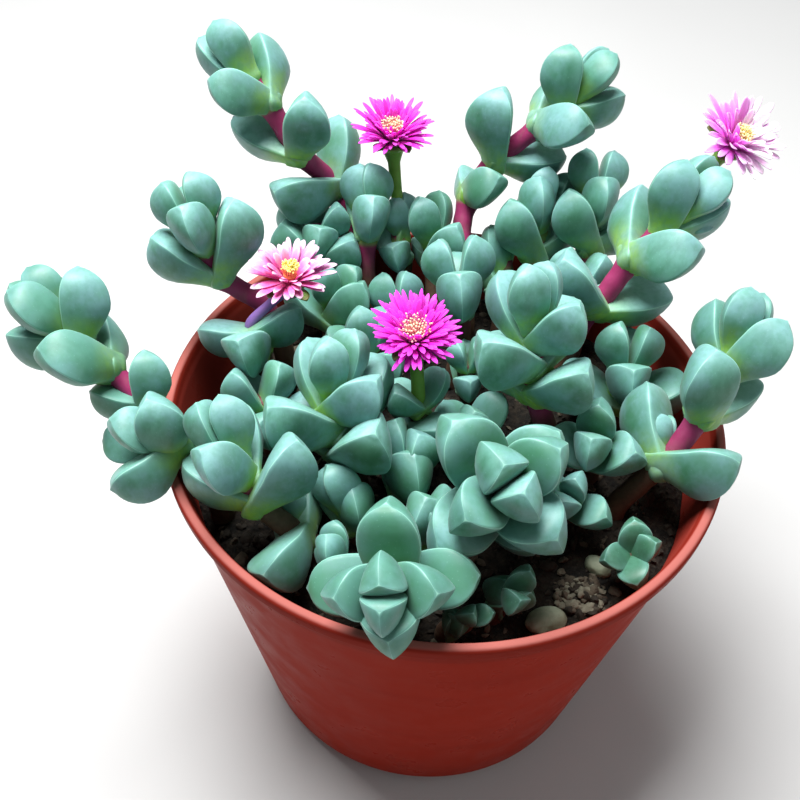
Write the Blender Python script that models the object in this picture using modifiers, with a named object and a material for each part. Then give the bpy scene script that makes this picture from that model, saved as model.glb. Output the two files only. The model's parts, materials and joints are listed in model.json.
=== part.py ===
"""A potted mat of fat, three-angled succulent leaves with four daisy-like flowers.

The plastic pot, its soil, two pebbles, a clump of grit, every leafy shoot and every
flower's petals and stamens are separate solids. Sizes and places in this file are in
millimetres and are turned into metres where a mesh is made. +Z is up, the origin is
the middle of the pot's underside, and -Y is the pot's front.
"""

import math
import random
from collections import namedtuple

import bmesh
import bpy
import numpy as np
from mathutils import Matrix, Vector, noise
from mathutils.bvhtree import BVHTree

MM = 0.001
GAP = 0.35                  # clearance between neighbouring solids

# Pot
RIM_RADIUS = 55.0
POT_HEIGHT = 87.0
LIP_WIDTH = 2.2
LIP_DROP = 3.4
LIP_ROUND = 0.6             # corner taken off each edge of the lip
WALL = 1.3
SHOULDER_RADIUS = 53.4      # outside of the wall just under the lip
HEEL_RADIUS = 39.6          # outside of the wall where it turns in to the foot
HEEL_HEIGHT = 5.0
HEEL_CORNER = 1.2           # slope between the pot's floor and its wall, inside
HEEL_TURN = 2.2             # how far down the outside slopes in from heel to foot
FOOT_DRAFT = 0.5            # slope of the foot's and the pad's sides
FOOT_RADIUS = 36.4
FOOT_INNER_RADIUS = 33.0
PAD_RADIUS = 13.0
RECESS = 2.0                # how far the underside between pad and foot is raised
FLOOR = 1.6
POT_STEPS = 36
DRAINS = 6
DRAIN_RADIUS = 1.8
DRAIN_CIRCLE = 23.0
DRAIN_SIDES = 6

# Soil
SOIL_EDGE = 72.0            # height of the soil at the pot wall
SOIL_CROWN = 2.5            # how much higher it lies in the middle
SOIL_LUMP = 0.9
SOIL_GRAIN = 0.09           # lumps for each millimetre
SOIL_RINGS = (11.0, 22.0, 33.0, 43.0)
SOIL_STEPS = 26
ROOT_DEPTH = 7.0            # how deep each stem stands in its hole
HOLE_ROOM = 0.65            # how much wider than its stem a hole is cut
HOLE_SIDES = 6
PEBBLE_SINK = 0.35          # how high a pebble's middle lies over the soil, as a share of its height
PEBBLE_DENT = 0.10
PEBBLES = (((22.0, -38.5), (4.0, 2.7, 2.1), 20.0), ((31.6, -25.6), (2.7, 1.9, 1.8), -35.0))
GRIT_CENTRE = (28.0, -32.2)
GRIT_RADIUS = 3.5
GRIT_STRETCH = 1.25         # how much longer than wide the clump is
GRIT_CLEARANCE = 0.9        # how far above the soil the middle of its base lies
GRAINS = 9
SPIRAL = 2.4                # angle from one grain or stamen to the next, in radians

# Leaves
LEAF_LENGTH = 15.0
LEAF_WIDTH = 9.5
LEAF_DEPTH = 8.2
NECK = 0.70                 # width of the section at the stem, as a share of the full width
KEEL_NECK = 0.52            # depth of the section at the stem, likewise
SHOULDER = 0.60             # share of the length at which the leaf is thickest
TIP_HEIGHT = 0.32           # the apex lies nearer the inner face than the keel
TIP_FALL = 2.6              # how late and how bluntly the leaf closes in to its apex
TIP_BLUNT = 0.50
LEAF_CURL = 0.07
LEAF_STATIONS = (0.0, 0.56, 0.87)
LEAF_SIDES = 5
LEAF_SPREADS = (12, 34, 52, 64, 74)
LEAF_SIZES = (0.76, 0.91, 1.03, 1.06, 0.84)
LEAF_GAPS = (0.0, 4.5, 10.5)
LEAF_SET = 2.8              # how far a leaf's base is sunk into its stem
LEAF_OFFSET = 0.12          # how far its base stands off the stem's middle
BUD_SIZE = 0.48
BUD_REACH = 3.4             # how far from the stem's middle a bud's two leaves start
BUD_SPREAD = 12
FLAT_ANGLE = 2.0            # degrees between faces that are merged after a union
SOIL_FLAT_ANGLE = 6.0
KEPT_SHARE = 0.70           # of a shoot's triangles, once the smallest splinters are closed up

# Stems
STEM_RADIUS = 2.0
STEM_TIP = 0.82             # share of the radius that is left at the tip
STEM_STEP = 6.0
PATH_STEPS = 12             # straight pieces between two points of a path

# Settling, which keeps the shoots clear of each other
SETTLE_ROUNDS = 70
SHRINK_ROUNDS = 25
LEAN_EASE = 0.55            # share of each overlap that a leaf leans away in one round
SHIFT_EASE = 0.16           # share that its shoot moves away
SOIL_LEAN = 0.8
SOIL_SHIFT = 0.12
SPRING = 0.04               # share of its lean and shift that a shoot takes back each round
CALMING = 1.6               # how early that taking back fades out
SHRINK_STEP = 0.97

# Flowers
CALYX_RADIUS = 3.0
CALYX_RISE = 1.6
STALK_RADIUS = 1.5
INNER_LIFT = 22             # how many degrees steeper the inner petals rise than the outer
DISC_RADIUS = 2.5
DISC_HEIGHT = 1.2
PETAL_WIDTH = 2.1
PETAL_ROOT = 1.95           # how far from its axis a flower's outer petals start
PETAL_THICKNESS = 0.62
PETAL_BEND = 0.35           # how much of its rise a petal loses towards its tip
INNER_REACH = 0.84
STAMENS = 7
STAMEN_HEIGHT = 3.0
STAMEN_RADIUS = 0.38
STAMEN_LEAN = 0.36
BRUSH_RADIUS = 0.95

# A shoot leaves the soil at root. Its axis passes the points of its path, and its
# youngest pair of leaves sits at the last of them, turned by turn degrees about it.
# Pairs stand gaps back from the tip, each a right angle round from the last, and
# lean out by spreads degrees. An axil in buds, counted as pair * 2 + side, holds a
# small bud. A firm shoot gives way less where two shoots meet.
Shoot = namedtuple("Shoot", "name root path turn gaps spreads size buds firm",
                   defaults=(LEAF_GAPS, LEAF_SPREADS, 1.0, (), 1.0))

# A flower stands on its own stalk, which grows from a shoot's tip.
Flower = namedtuple("Flower", "name shoot stalk face reach lift petals")

SHOOTS = (
    # Heads that face the front, with their stems hidden under them
    Shoot("front_shoot", (-4, -32), ((-4.5, -39, 82), (-6, -46, 90.5), (-6.5, -51, 96)), 95,
          (0, 3.8, 7.6, 11.4), (4, 32, 52, 72), 1.08, (), 6),
    Shoot("front_right_shoot", (9, -18), ((10, -22, 87), (10.5, -27, 95.5), (11, -31.8, 102.8)), 135,
          (0, 4.2, 8.8, 14.0, 19.5), (5, 33, 43, 54, 64), 1.24, (), 6),
    Shoot("centre_right_shoot", (23, -3), ((18, -3, 92), (15.5, -1, 101), (15, 2, 111)), 50,
          (0, 4.0, 8.5, 14.0), (7, 38, 54, 64), 1.12, (), 6),
    Shoot("centre_left_shoot", (-15, -15), ((-18, -14, 86), (-20.5, -12.5, 93), (-20, -10, 100)), 50,
          (0, 4.0, 8.0, 13.0), (9, 38, 54, 64), 1.14, (), 6),
    Shoot("left_shoot", (-22, -29),
          ((-25, -30, 81), (-31, -29, 87), (-34.5, -27, 92.5), (-37.5, -24.5, 98)), 0,
          (0, 4.5, 9.5, 21.0), (7, 38, 52, 74), 1.08, (7,), 6),

    # Long arms that reach over the rim
    Shoot("back_left_arm", (-22, 38),
          ((-24, 44, 90), (-29, 49, 101), (-35.5, 47, 110), (-42, 49, 120), (-48, 52, 125.5)), -25,
          (0, 6.5, 18.5, 31.0), (9, 36, 46, 52), 1.10, (), 4),
    Shoot("left_arm", (-38, -13),
          ((-43, -16, 86), (-51, -16, 92), (-60, -12.5, 98.5), (-66, -10, 102.5), (-72.8, -6.5, 108)), 5,
          (0, 2.4, 5.4, 12.5, 22.5), (8, 30, 48, 46, 48), 0.96, (), 4),
    Shoot("upper_left_arm", (-34, 16),
          ((-38, 18.5, 90), (-44, 18, 96), (-47, 17, 99.5), (-49, 17.5, 105), (-51.5, 19, 111.5)), 15,
          (0, 3.4, 10.0), (9, 34, 34), 1.06, (), 4),
    Shoot("back_right_arm", (3, 35),
          ((1, 41, 88), (0.5, 49, 96), (4, 55, 103), (11, 57, 110.5), (19, 59.5, 117), (23, 62, 122)),
          100, (0, 4.2, 10.0, 21.5, 32.0), (8, 40, 50, 48, 62), 1.06, (), 4),
    Shoot("right_arm", (24, 18),
          ((26, 20, 92), (29.8, 21, 100), (33.7, 23.5, 107), (38.6, 26.5, 112.5), (43.6, 30, 118.5)), -70,
          (0.5, 5.0, 13.0, 25.0), (10, 32, 48, 62), 1.10, (2,), 4),
    Shoot("far_right_arm", (35, -12),
          ((39, -11, 82), (43.5, -9.5, 89), (48.5, -4.5, 96), (51.3, -0.5, 101.5), (53, 3.5, 107)), 40,
          (0, 4.0, 13.0, 25.0), (7, 32, 46, 60), 1.06, (6, 7), 4),

    # Shorter shoots that carry the flowers on the left, in the middle and at the back
    Shoot("left_flower_shoot", (-33, 5), ((-37, 8, 87), (-39.5, 11.5, 94.5)), 5, (0, 3.5), (74, 70), 1.14,
          (), 3),
    Shoot("middle_flower_shoot", (-4, -4), ((-5, -4, 91),), 40, (0, 5.0), (44, 64), 0.9),
    Shoot("back_flower_shoot", (-11, 41), ((-13, 46, 93),), 30, (0, 5.0), (40, 60), 0.92),

    # Shoots that fill the pot between them
    Shoot("shoot_upper_middle", (2, 18), ((2, 20, 87), (1, 23, 94), (0.5, 24.5, 98)), 5,
          (0, 4.5), (14, 42), 1.1),
    Shoot("shoot_middle", (5, 9), ((4, 9, 84), (4, 9, 90)), 5, (0, 4.5), (16, 44), 0.74),
    Shoot("shoot_middle_low", (5, -7), ((5, -7, 82), (6, -6, 87)), 60, (0, 5), (24, 58), 1.06),
    Shoot("shoot_back_left", (-17, 31), ((-20, 37, 87), (-21, 44, 98)), 5,
          (0, 4.0), (10, 44), 1.0),
    Shoot("shoot_back_left_edge", (-28, 33), ((-29, 40, 86), (-29, 44, 96)), 0,
          (0, 4.0, 8.5), (12, 44, 64), 0.96),
    Shoot("shoot_back", (-4, 33), ((-6, 40, 87), (-8, 44, 96)), 50, (0, 4.5), (16, 46), 1.0),
    Shoot("shoot_back_right", (17, 35), ((18, 42, 90), (20, 49, 100)), 20,
          (0, 4.5, 9.5), (14, 40, 58), 0.96),
    Shoot("shoot_back_right_far", (27, 36), ((26, 43, 90), (25, 51, 103)), 10,
          (0, 5, 10.5), (14, 40, 56), 0.98),
    Shoot("shoot_back_middle", (11, 37), ((12, 40, 82), (13, 44, 90)), 70, (0, 5), (14, 46), 0.96),
    Shoot("shoot_back_inner", (24, 28), ((24, 35, 81), (24, 41, 89)), 15, (0, 5), (14, 46), 1.0),
    Shoot("shoot_right_back", (36, 12), ((36, 12, 83), (36, 13, 90)), 0,
          (0, 4.5, 9.0), (12, 42, 62), 1.04),
    Shoot("shoot_right", (30, -4), ((30, -6, 82), (29, -8, 89)), 80, (0, 4.5), (14, 46), 1.04),
    Shoot("shoot_right_low", (27, -15), ((26, -17, 80), (25, -19, 85)), 60, (0, 4.5), (14, 46), 0.8),
    Shoot("shoot_right_edge", (39, -23), ((38, -26, 75.5), (37.3, -28, 78.4)), 20, (0, 2.0), (42, 78), 0.74),
    Shoot("shoot_left_rim", (-41, -21), ((-46, -20, 86), (-51, -18.5, 90.0)), 100, (0, 2.6), (26, 88), 1.14),
    Shoot("shoot_left_gap", (-34, -4), ((-35, -4, 82), (-36, -3, 88)), 30, (0, 4.5), (18, 56), 1.0),
    Shoot("shoot_left_back", (-26, 25), ((-26, 30, 80), (-26, 33, 86)), 60, (0, 5), (18, 50), 1.0),
    Shoot("shoot_left_middle", (-12, 24), ((-13, 28, 80), (-14, 30, 84)), 20, (0, 5), (20, 54), 1.0),
    Shoot("shoot_left_inner", (-18, 12), ((-18, 15, 80), (-17, 18, 85)), 45, (0, 5), (20, 54), 1.0),
    Shoot("shoot_centre_low", (-6, -16), ((-7, -16, 78), (-8, -16, 83)), 10, (0, 5), (18, 54), 1.1),
    Shoot("shoot_left_low", (-14, -24), ((-16, -22, 78), (-18, -20, 81)), 10, (0, 5), (18, 56), 0.96),
    Shoot("shoot_front_middle", (-1, -26), ((-2, -26, 76), (-3, -26, 80)), 160, (0, 4), (50, 64), 1.0),
    Shoot("shoot_front_left", (-15, -37), ((-18, -37, 77), (-19, -36, 80)), 85, (0, 4.5), (12, 54), 0.74),
    Shoot("shoot_front_low", (12, -38), ((14, -39, 77), (15, -40, 80)), 75, (0, 4.5), (20, 60), 0.7),
    Shoot("shoot_front_edge", (4, -43), ((6, -44, 76), (8, -45, 79)), 20, (0, 4), (20, 60), 0.56),
)

FLOWERS = (
    Flower("left_flower", "left_flower_shoot", ((-35.6, 14, 99), (-31.8, 16, 102)),
           (0.06, -0.08, 0.99), 9.4, 22, 20),
    Flower("middle_flower", "middle_flower_shoot", ((-5.5, -3, 97), (-6.4, -0.5, 102)),
           (0.0, -0.2, 0.98), 9.4, 28, 20),
    Flower("back_flower", "back_flower_shoot", ((-14.4, 49, 102), (-15.6, 52, 110.5)),
           (0.0, -0.15, 1.0), 9.8, 34, 18),
    Flower("right_flower", "right_arm", ((47, 37, 120.5), (51.5, 43.5, 121.5)),
           (0.30, -0.30, 0.88), 10.6, 26, 20),
)

COLOURS = {
    "pot": (0.42, 0.055, 0.035),
    "soil": (0.035, 0.022, 0.015),
    "pebble": (0.42, 0.46, 0.34),
    "grit": (0.30, 0.24, 0.18),
    "leaf": (0.16, 0.44, 0.36),
    "petal": (0.80, 0.06, 0.62),
    "stamen": (0.90, 0.74, 0.42),
}


def clear_scene():
    for obj in list(bpy.data.objects):
        bpy.data.objects.remove(obj)


def collection(name):
    found = bpy.data.collections.new(name)
    bpy.context.scene.collection.children.link(found)
    return found


def material(name, roughness):
    made = bpy.data.materials.new(name)
    made.use_nodes = True
    shader = made.node_tree.nodes["Principled BSDF"]
    shader.inputs["Base Color"].default_value = (*COLOURS[name], 1.0)
    shader.inputs["Roughness"].default_value = roughness
    return made


def new_object(name, mesh, home, finish=None):
    obj = bpy.data.objects.new(name, mesh)
    home.objects.link(obj)
    if finish:
        mesh.materials.append(finish)
    return obj


def mesh_from(name, points, faces):
    """A mesh of hand-lofted faces, from points in millimetres."""
    mesh = bpy.data.meshes.new(name)
    mesh.from_pydata([Vector(p) * MM for p in points], [], faces)
    mesh.validate()
    return mesh


def bmesh_object(name, bm, home, finish=None):
    """An object from a bmesh whose points are in millimetres."""
    bmesh.ops.scale(bm, vec=(MM, MM, MM), verts=bm.verts)
    mesh = bpy.data.meshes.new(name)
    bm.to_mesh(mesh)
    bm.free()
    return new_object(name, mesh, home, finish)


def applied(obj):
    """The object with its modifiers made part of its mesh."""
    graph = bpy.context.evaluated_depsgraph_get()
    made = bpy.data.meshes.new_from_object(obj.evaluated_get(graph))
    obj.modifiers.clear()
    obj.data = made
    return obj


def soften(obj, angle):
    obj.data.shade_smooth()
    obj.data.set_sharp_from_angle(angle=math.radians(angle))
    return obj


def turned(name, profile, home, steps, finish=None):
    """A turned solid whose profile runs down its outer side from the axis to the axis."""
    mesh = bpy.data.meshes.new(name)
    points = [(r * MM, 0, z * MM) for r, z in profile]
    mesh.from_pydata(points, [(i, i + 1) for i in range(len(points) - 1)], [])
    obj = new_object(name, mesh, home, finish)
    screw = obj.modifiers.new("Turn", "SCREW")
    screw.steps = screw.render_steps = steps
    screw.use_merge_vertices = True
    screw.merge_threshold = 0.00002
    screw.use_smooth_shade = False
    return obj


def boolean(obj, other, operation, solver="EXACT"):
    """Apply one Boolean with an object or a collection, which is then removed."""
    step = obj.modifiers.new(operation.title(), "BOOLEAN")
    step.operation = operation
    step.solver = solver
    if isinstance(other, bpy.types.Collection):
        step.operand_type = "COLLECTION"
        step.collection = other
        spent = list(other.objects)
    else:
        step.object = other
        spent = [other]
    applied(obj)
    for used in spent:
        bpy.data.objects.remove(used)
    return obj


def largest_shell(obj):
    """Keep the outer body alone, so that a hollow sealed by fusing is filled and a scrap is dropped."""
    bm = bmesh.new()
    bm.from_mesh(obj.data)
    waiting = set(bm.verts)
    shells = []
    while waiting:
        shell = set()
        edge = [waiting.pop()]
        while edge:
            vertex = edge.pop()
            shell.add(vertex)
            for link in vertex.link_edges:
                other = link.other_vert(vertex)
                if other in waiting:
                    waiting.remove(other)
                    edge.append(other)
        shells.append(shell)

    def spread(shell):
        return sum(max(v.co[i] for v in shell) - min(v.co[i] for v in shell) for i in range(3))

    shells.sort(key=spread)
    bmesh.ops.delete(bm, geom=[v for shell in shells[:-1] for v in shell], context="VERTS")
    bm.to_mesh(obj.data)
    bm.free()
    return obj


def merged_flats(obj, degrees):
    """Merge the flat splinters that a union leaves."""
    bm = bmesh.new()
    bm.from_mesh(obj.data)
    bmesh.ops.dissolve_limit(bm, angle_limit=math.radians(degrees), verts=bm.verts, edges=bm.edges)
    bmesh.ops.triangulate(bm, faces=bm.faces)
    bm.to_mesh(obj.data)
    bm.free()
    return obj


def is_sound(mesh):
    """Whether a mesh is closed and none of its faces passes through another."""
    bm = bmesh.new()
    bm.from_mesh(mesh)
    closed = all(edge.is_manifold for edge in bm.edges)
    tree = BVHTree.FromBMesh(bm, epsilon=0.0)
    corners = [set(face.verts) for face in bm.faces]
    crossed = any(i < j and not corners[i] & corners[j] for i, j in tree.overlap(tree))
    bm.free()
    return closed and not crossed


def thinned(obj):
    """Close up the smallest splinters, as far as the body stays sound."""
    for share in (KEPT_SHARE, 0.5 * (1 + KEPT_SHARE)):
        step = obj.modifiers.new("Thin", "DECIMATE")
        step.ratio = share
        graph = bpy.context.evaluated_depsgraph_get()
        made = bpy.data.meshes.new_from_object(obj.evaluated_get(graph))
        obj.modifiers.clear()
        if is_sound(made):
            obj.data = made
            break
    return obj


def smoothstep(t):
    t = min(max(t, 0.0), 1.0)
    return t * t * (3 - 2 * t)


def inner_radius(z):
    """The inside of the pot wall at a height above the floor."""
    share = (z - HEEL_HEIGHT) / (POT_HEIGHT - LIP_DROP - HEEL_HEIGHT)
    return HEEL_RADIUS + (SHOULDER_RADIUS - HEEL_RADIUS) * share - WALL


def soil_height(x, y):
    """The lumpy top of the soil."""
    edge = inner_radius(SOIL_EDGE)
    crown = SOIL_CROWN * (1 - min(1.0, (x * x + y * y) / edge ** 2))
    lump = noise.noise(Vector((x, y, 0)) * SOIL_GRAIN)
    lump += 0.5 * noise.noise(Vector((x, y, 40)) * 2.6 * SOIL_GRAIN)
    return SOIL_EDGE + crown + SOIL_LUMP * lump


def build_pot(home):
    """The nursery pot: a tapered wall, a thick lip and a stepped foot with drain holes."""
    lip = RIM_RADIUS
    inside = RIM_RADIUS - LIP_WIDTH
    profile = [
        (0, RECESS + FLOOR), (inner_radius(HEEL_HEIGHT) - HEEL_CORNER, RECESS + FLOOR),
        (inner_radius(HEEL_HEIGHT), HEEL_HEIGHT + HEEL_CORNER),
        (inner_radius(POT_HEIGHT - LIP_DROP), POT_HEIGHT - LIP_DROP), (inside, POT_HEIGHT - LIP_ROUND),
        (inside + LIP_ROUND, POT_HEIGHT), (lip - LIP_ROUND, POT_HEIGHT), (lip, POT_HEIGHT - LIP_ROUND),
        (lip - 0.2, POT_HEIGHT - LIP_DROP + 0.1), (SHOULDER_RADIUS, POT_HEIGHT - LIP_DROP - 0.1),
        (HEEL_RADIUS, HEEL_HEIGHT), (FOOT_RADIUS + FOOT_DRAFT, HEEL_HEIGHT - HEEL_TURN), (FOOT_RADIUS, 0),
        (FOOT_INNER_RADIUS, 0), (FOOT_INNER_RADIUS - FOOT_DRAFT, RECESS),
        (PAD_RADIUS + FOOT_DRAFT, RECESS), (PAD_RADIUS, 0), (0, 0),
    ]
    pot = turned("pot", profile, home, POT_STEPS, material("pot", 0.34))
    drills = collection("pot_drills")
    for i in range(DRAINS):
        angle = 2 * math.pi * (i + 0.5) / DRAINS
        bm = bmesh.new()
        place = Matrix.Translation((DRAIN_CIRCLE * math.cos(angle), DRAIN_CIRCLE * math.sin(angle), RECESS))
        bmesh.ops.create_cone(bm, cap_ends=True, segments=DRAIN_SIDES, radius1=DRAIN_RADIUS,
                              radius2=DRAIN_RADIUS, depth=3 * FLOOR, matrix=place)
        bmesh_object("drill", bm, drills)
    boolean(pot, drills, "DIFFERENCE")
    bpy.data.collections.remove(drills)
    return soften(pot, 32)


def build_soil(home, roots):
    """The soil, with a lumpy top, a plain hole for each stem and a hollow under each pebble."""
    bottom = RECESS + FLOOR + GAP
    foot = inner_radius(HEEL_HEIGHT) - HEEL_CORNER - GAP
    edge = inner_radius(SOIL_EDGE) - GAP
    top = [(r, SOIL_EDGE) for r in (0.0,) + SOIL_RINGS]
    profile = top + [(edge, SOIL_EDGE), (inner_radius(HEEL_HEIGHT) - GAP, HEEL_HEIGHT + HEEL_CORNER + GAP),
                     (foot, bottom), (0, bottom)]
    soil = turned("soil", profile, home, SOIL_STEPS, material("soil", 0.95))
    applied(soil)
    for vertex in soil.data.vertices:
        x, y, z = vertex.co / MM
        if z > SOIL_EDGE - 1.0:
            vertex.co.z = soil_height(x, y) * MM
    cutters = collection("soil_cutters")
    for (x, y), radius in roots:
        low = soil_height(x, y) - ROOT_DEPTH - GAP
        bm = bmesh.new()
        high = SOIL_EDGE + SOIL_CROWN + 4 * SOIL_LUMP
        place = Matrix.Translation((x, y, (low + high) / 2))
        bmesh.ops.create_cone(bm, cap_ends=True, segments=HOLE_SIDES, radius1=radius + HOLE_ROOM,
                              radius2=radius + HOLE_ROOM, depth=high - low, matrix=place)
        bmesh_object("hole", bm, cutters)
    for number, (spot, radii, turn) in enumerate(PEBBLES):
        bmesh_object("hollow", pebble_mesh(number, spot, radii, turn, GAP), cutters)
    boolean(soil, cutters, "DIFFERENCE")
    bpy.data.collections.remove(cutters)
    return soften(merged_flats(soil, SOIL_FLAT_ANGLE), 60)


def pebble_mesh(number, spot, radii, turn, grow):
    """A rounded pebble, half sunk in the soil. grow makes the hollow it lies in."""
    bm = bmesh.new()
    bmesh.ops.create_icosphere(bm, subdivisions=2, radius=1.0)
    for vertex in bm.verts:
        dent = 1 + PEBBLE_DENT * noise.noise(vertex.co * 1.4 + Vector((7.0 * number, 0, 0)))
        vertex.co = Vector(vertex.co[i] * (radii[i] * dent + grow) for i in range(3))
    x, y = spot
    place = Matrix.Translation((x, y, soil_height(x, y) + PEBBLE_SINK * radii[2]))
    bmesh.ops.transform(bm, matrix=place @ Matrix.Rotation(math.radians(turn), 4, "Z"), verts=bm.verts)
    return bm


def build_grit(home):
    """A clump of coarse grit that lies on the soil, fused into one piece."""
    draw = random.Random(5)
    grains = collection("grains")
    base = GRIT_CLEARANCE + max(
        soil_height(GRIT_CENTRE[0] + GRIT_RADIUS * GRIT_STRETCH * share * math.cos(angle),
                    GRIT_CENTRE[1] + GRIT_RADIUS * share * math.sin(angle))
        for angle in range(7) for share in (0, 0.5, 1))
    for i in range(GRAINS):
        angle = i * SPIRAL
        reach = GRIT_RADIUS * math.sqrt((i + 0.5) / GRAINS)
        x = GRIT_CENTRE[0] + GRIT_STRETCH * reach * math.cos(angle)
        y = GRIT_CENTRE[1] + reach * math.sin(angle)
        size = draw.uniform(0.75, 1.15)
        bm = bmesh.new()
        bmesh.ops.create_icosphere(bm, subdivisions=1, radius=size)
        lift = base + size * draw.uniform(0.25, 0.7)
        place = Matrix.Translation((x, y, lift)) @ Matrix.Rotation(angle, 4, (1, 1, 0.3))
        bmesh.ops.transform(bm, matrix=place, verts=bm.verts)
        bmesh_object("grain", bm, grains)
    bm = bmesh.new()
    place = Matrix.Translation((*GRIT_CENTRE, base))
    bmesh.ops.create_cone(bm, cap_ends=True, segments=14, radius1=GRIT_RADIUS, radius2=GRIT_RADIUS * 0.9,
                          depth=1.0, matrix=place @ Matrix.Diagonal((GRIT_STRETCH, 1, 1, 1)))
    grit = bmesh_object("grit", bm, home, material("grit", 0.9))
    boolean(grit, grains, "UNION")
    bpy.data.collections.remove(grains)
    return merged_flats(largest_shell(grit), FLAT_ANGLE)


def leaf_section(t, length, width, depth):
    """Five points round a leaf at share t of its length, in the leaf's own frame.

    X is the leaf's width, Y points out of its keeled back and Z runs along it. The
    points are margin, margin, flank, keel, flank, and the inner face is left flat.
    """
    swell = smoothstep(t / SHOULDER)
    over = max(0.0, t - SHOULDER) / (1 - SHOULDER)
    close = (1 - over ** TIP_FALL) ** TIP_BLUNT
    half = 0.5 * width * (NECK + (1 - NECK) * swell)
    deep = depth * (KEEL_NECK + (1 - KEEL_NECK) * swell)
    bulge = 0.17 - 0.07 * smoothstep(t)
    corners = ((half, 0.04 * deep), (-half, 0.04 * deep),
               (-half * (0.5 + bulge), deep * (0.52 + bulge)), (0.0, deep),
               (half * (0.5 + bulge), deep * (0.52 + bulge)))
    tip = TIP_HEIGHT * depth
    curl = -LEAF_CURL * length * t * t
    return [(x * close, tip + (y - tip) * close + curl, t * length) for x, y in corners]


def leaf_points(length, width, depth):
    points = []
    for t in LEAF_STATIONS:
        points += leaf_section(t, length, width, depth)
    points.append((0, TIP_HEIGHT * depth - LEAF_CURL * length, length))
    return np.array(points)


def leaf_faces():
    """Faces over the rings of leaf_points and its apex, all turned outwards."""
    sides = LEAF_SIDES
    faces = [tuple(range(sides))]
    for ring in range(len(LEAF_STATIONS) - 1):
        low = ring * sides
        for i in range(sides):
            j = (i + 1) % sides
            faces.append((low + j, low + i, low + sides + i))
            faces.append((low + j, low + sides + i, low + sides + j))
    last = (len(LEAF_STATIONS) - 1) * sides
    for i in range(sides):
        faces.append((last + (i + 1) % sides, last + i, last + sides))
    return faces


def prism_points(start, end, radius):
    """Six-sided prism round a stretch of stem."""
    axis = (end - start) / np.linalg.norm(end - start)
    side = np.cross(axis, (0.0, 1.0, 0.0) if abs(axis[1]) < 0.9 else (1.0, 0.0, 0.0))
    side /= np.linalg.norm(side)
    other = np.cross(axis, side)
    ring = [radius * (math.cos(a) * side + math.sin(a) * other) for a in np.arange(6) * math.pi / 3]
    return np.array([start + r for r in ring] + [end + r for r in ring])


def unit(v):
    return v / np.linalg.norm(v)


def hermite_path(points):
    """A smooth line through the points, leaving the first one straight up."""
    tangents = [np.array((0.0, 0.0, 1.0)) * np.linalg.norm(points[1] - points[0])]
    for i in range(1, len(points) - 1):
        tangents.append(0.5 * (points[i + 1] - points[i - 1]))
    tangents.append(points[-1] - points[-2])
    line = []
    for i in range(len(points) - 1):
        p, q, a, b = points[i], points[i + 1], tangents[i], tangents[i + 1]
        for k in range(PATH_STEPS):
            t = k / PATH_STEPS
            line.append((2 * t ** 3 - 3 * t ** 2 + 1) * p + (t ** 3 - 2 * t ** 2 + t) * a
                        + (3 * t ** 2 - 2 * t ** 3) * q + (t ** 3 - t ** 2) * b)
    line.append(points[-1])
    return np.array(line)


def at_arc(line, arc):
    """The point and the direction at a distance along the line."""
    steps = np.linalg.norm(np.diff(line, axis=0), axis=1)
    sums = np.concatenate([[0], np.cumsum(steps)])
    arc = min(max(arc, 0.0), sums[-1])
    i = min(int(np.searchsorted(sums, arc, side="right")) - 1, len(steps) - 1)
    share = (arc - sums[i]) / steps[i]
    return line[i] + share * (line[i + 1] - line[i]), unit(line[i + 1] - line[i])


def arc_length(line):
    return float(np.linalg.norm(np.diff(line, axis=0), axis=1).sum())


class Body:
    """One leaf or one stretch of stem: a convex solid that can shift and, if a leaf, lean."""

    def __init__(self, owner, shape, faces, base, frame, share, leans, mover=None):
        self.owner = owner
        self.mover = mover or owner
        self.shape = shape          # points in the body's own frame
        self.faces = faces
        self.base = base
        self.frame = frame          # rows: width, keel direction, length direction
        self.rest = frame.copy()
        self.share = share          # how much of its shoot's shift it takes
        self.leans = leans
        self.scale = 1.0
        self.reach = np.linalg.norm(shape - shape.mean(axis=0), axis=1).max()

    def points(self, shifts):
        moved = self.base + self.share * shifts[self.mover]
        return self.scale * self.shape @ self.frame + moved


def outward_axes(points, faces):
    """The directions of a convex solid's faces."""
    a, b, c = (points[[f[k] for f in faces]] for k in range(3))
    normals = np.cross(b - a, c - a)
    sizes = np.linalg.norm(normals, axis=1)
    return normals[sizes > 1e-6] / sizes[sizes > 1e-6][:, None]


LEAF_FACES = leaf_faces()
PRISM_FACES = [(i, (i + 1) % 6, 6 + i) for i in range(6)] + [(2, 1, 0), (6, 7, 8)]
BLOCK_FACES = ((2, 1, 0), (4, 5, 6), (0, 1, 5), (1, 2, 6), (2, 3, 7), (3, 0, 4))
BLOOM_FACES = [(ring + i, ring + (i + 1) % 8, ring + 8 + i) for ring in (0, 8) for i in range(8)]
BLOOM_FACES += [(2, 1, 0), (16, 17, 18)]


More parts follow.
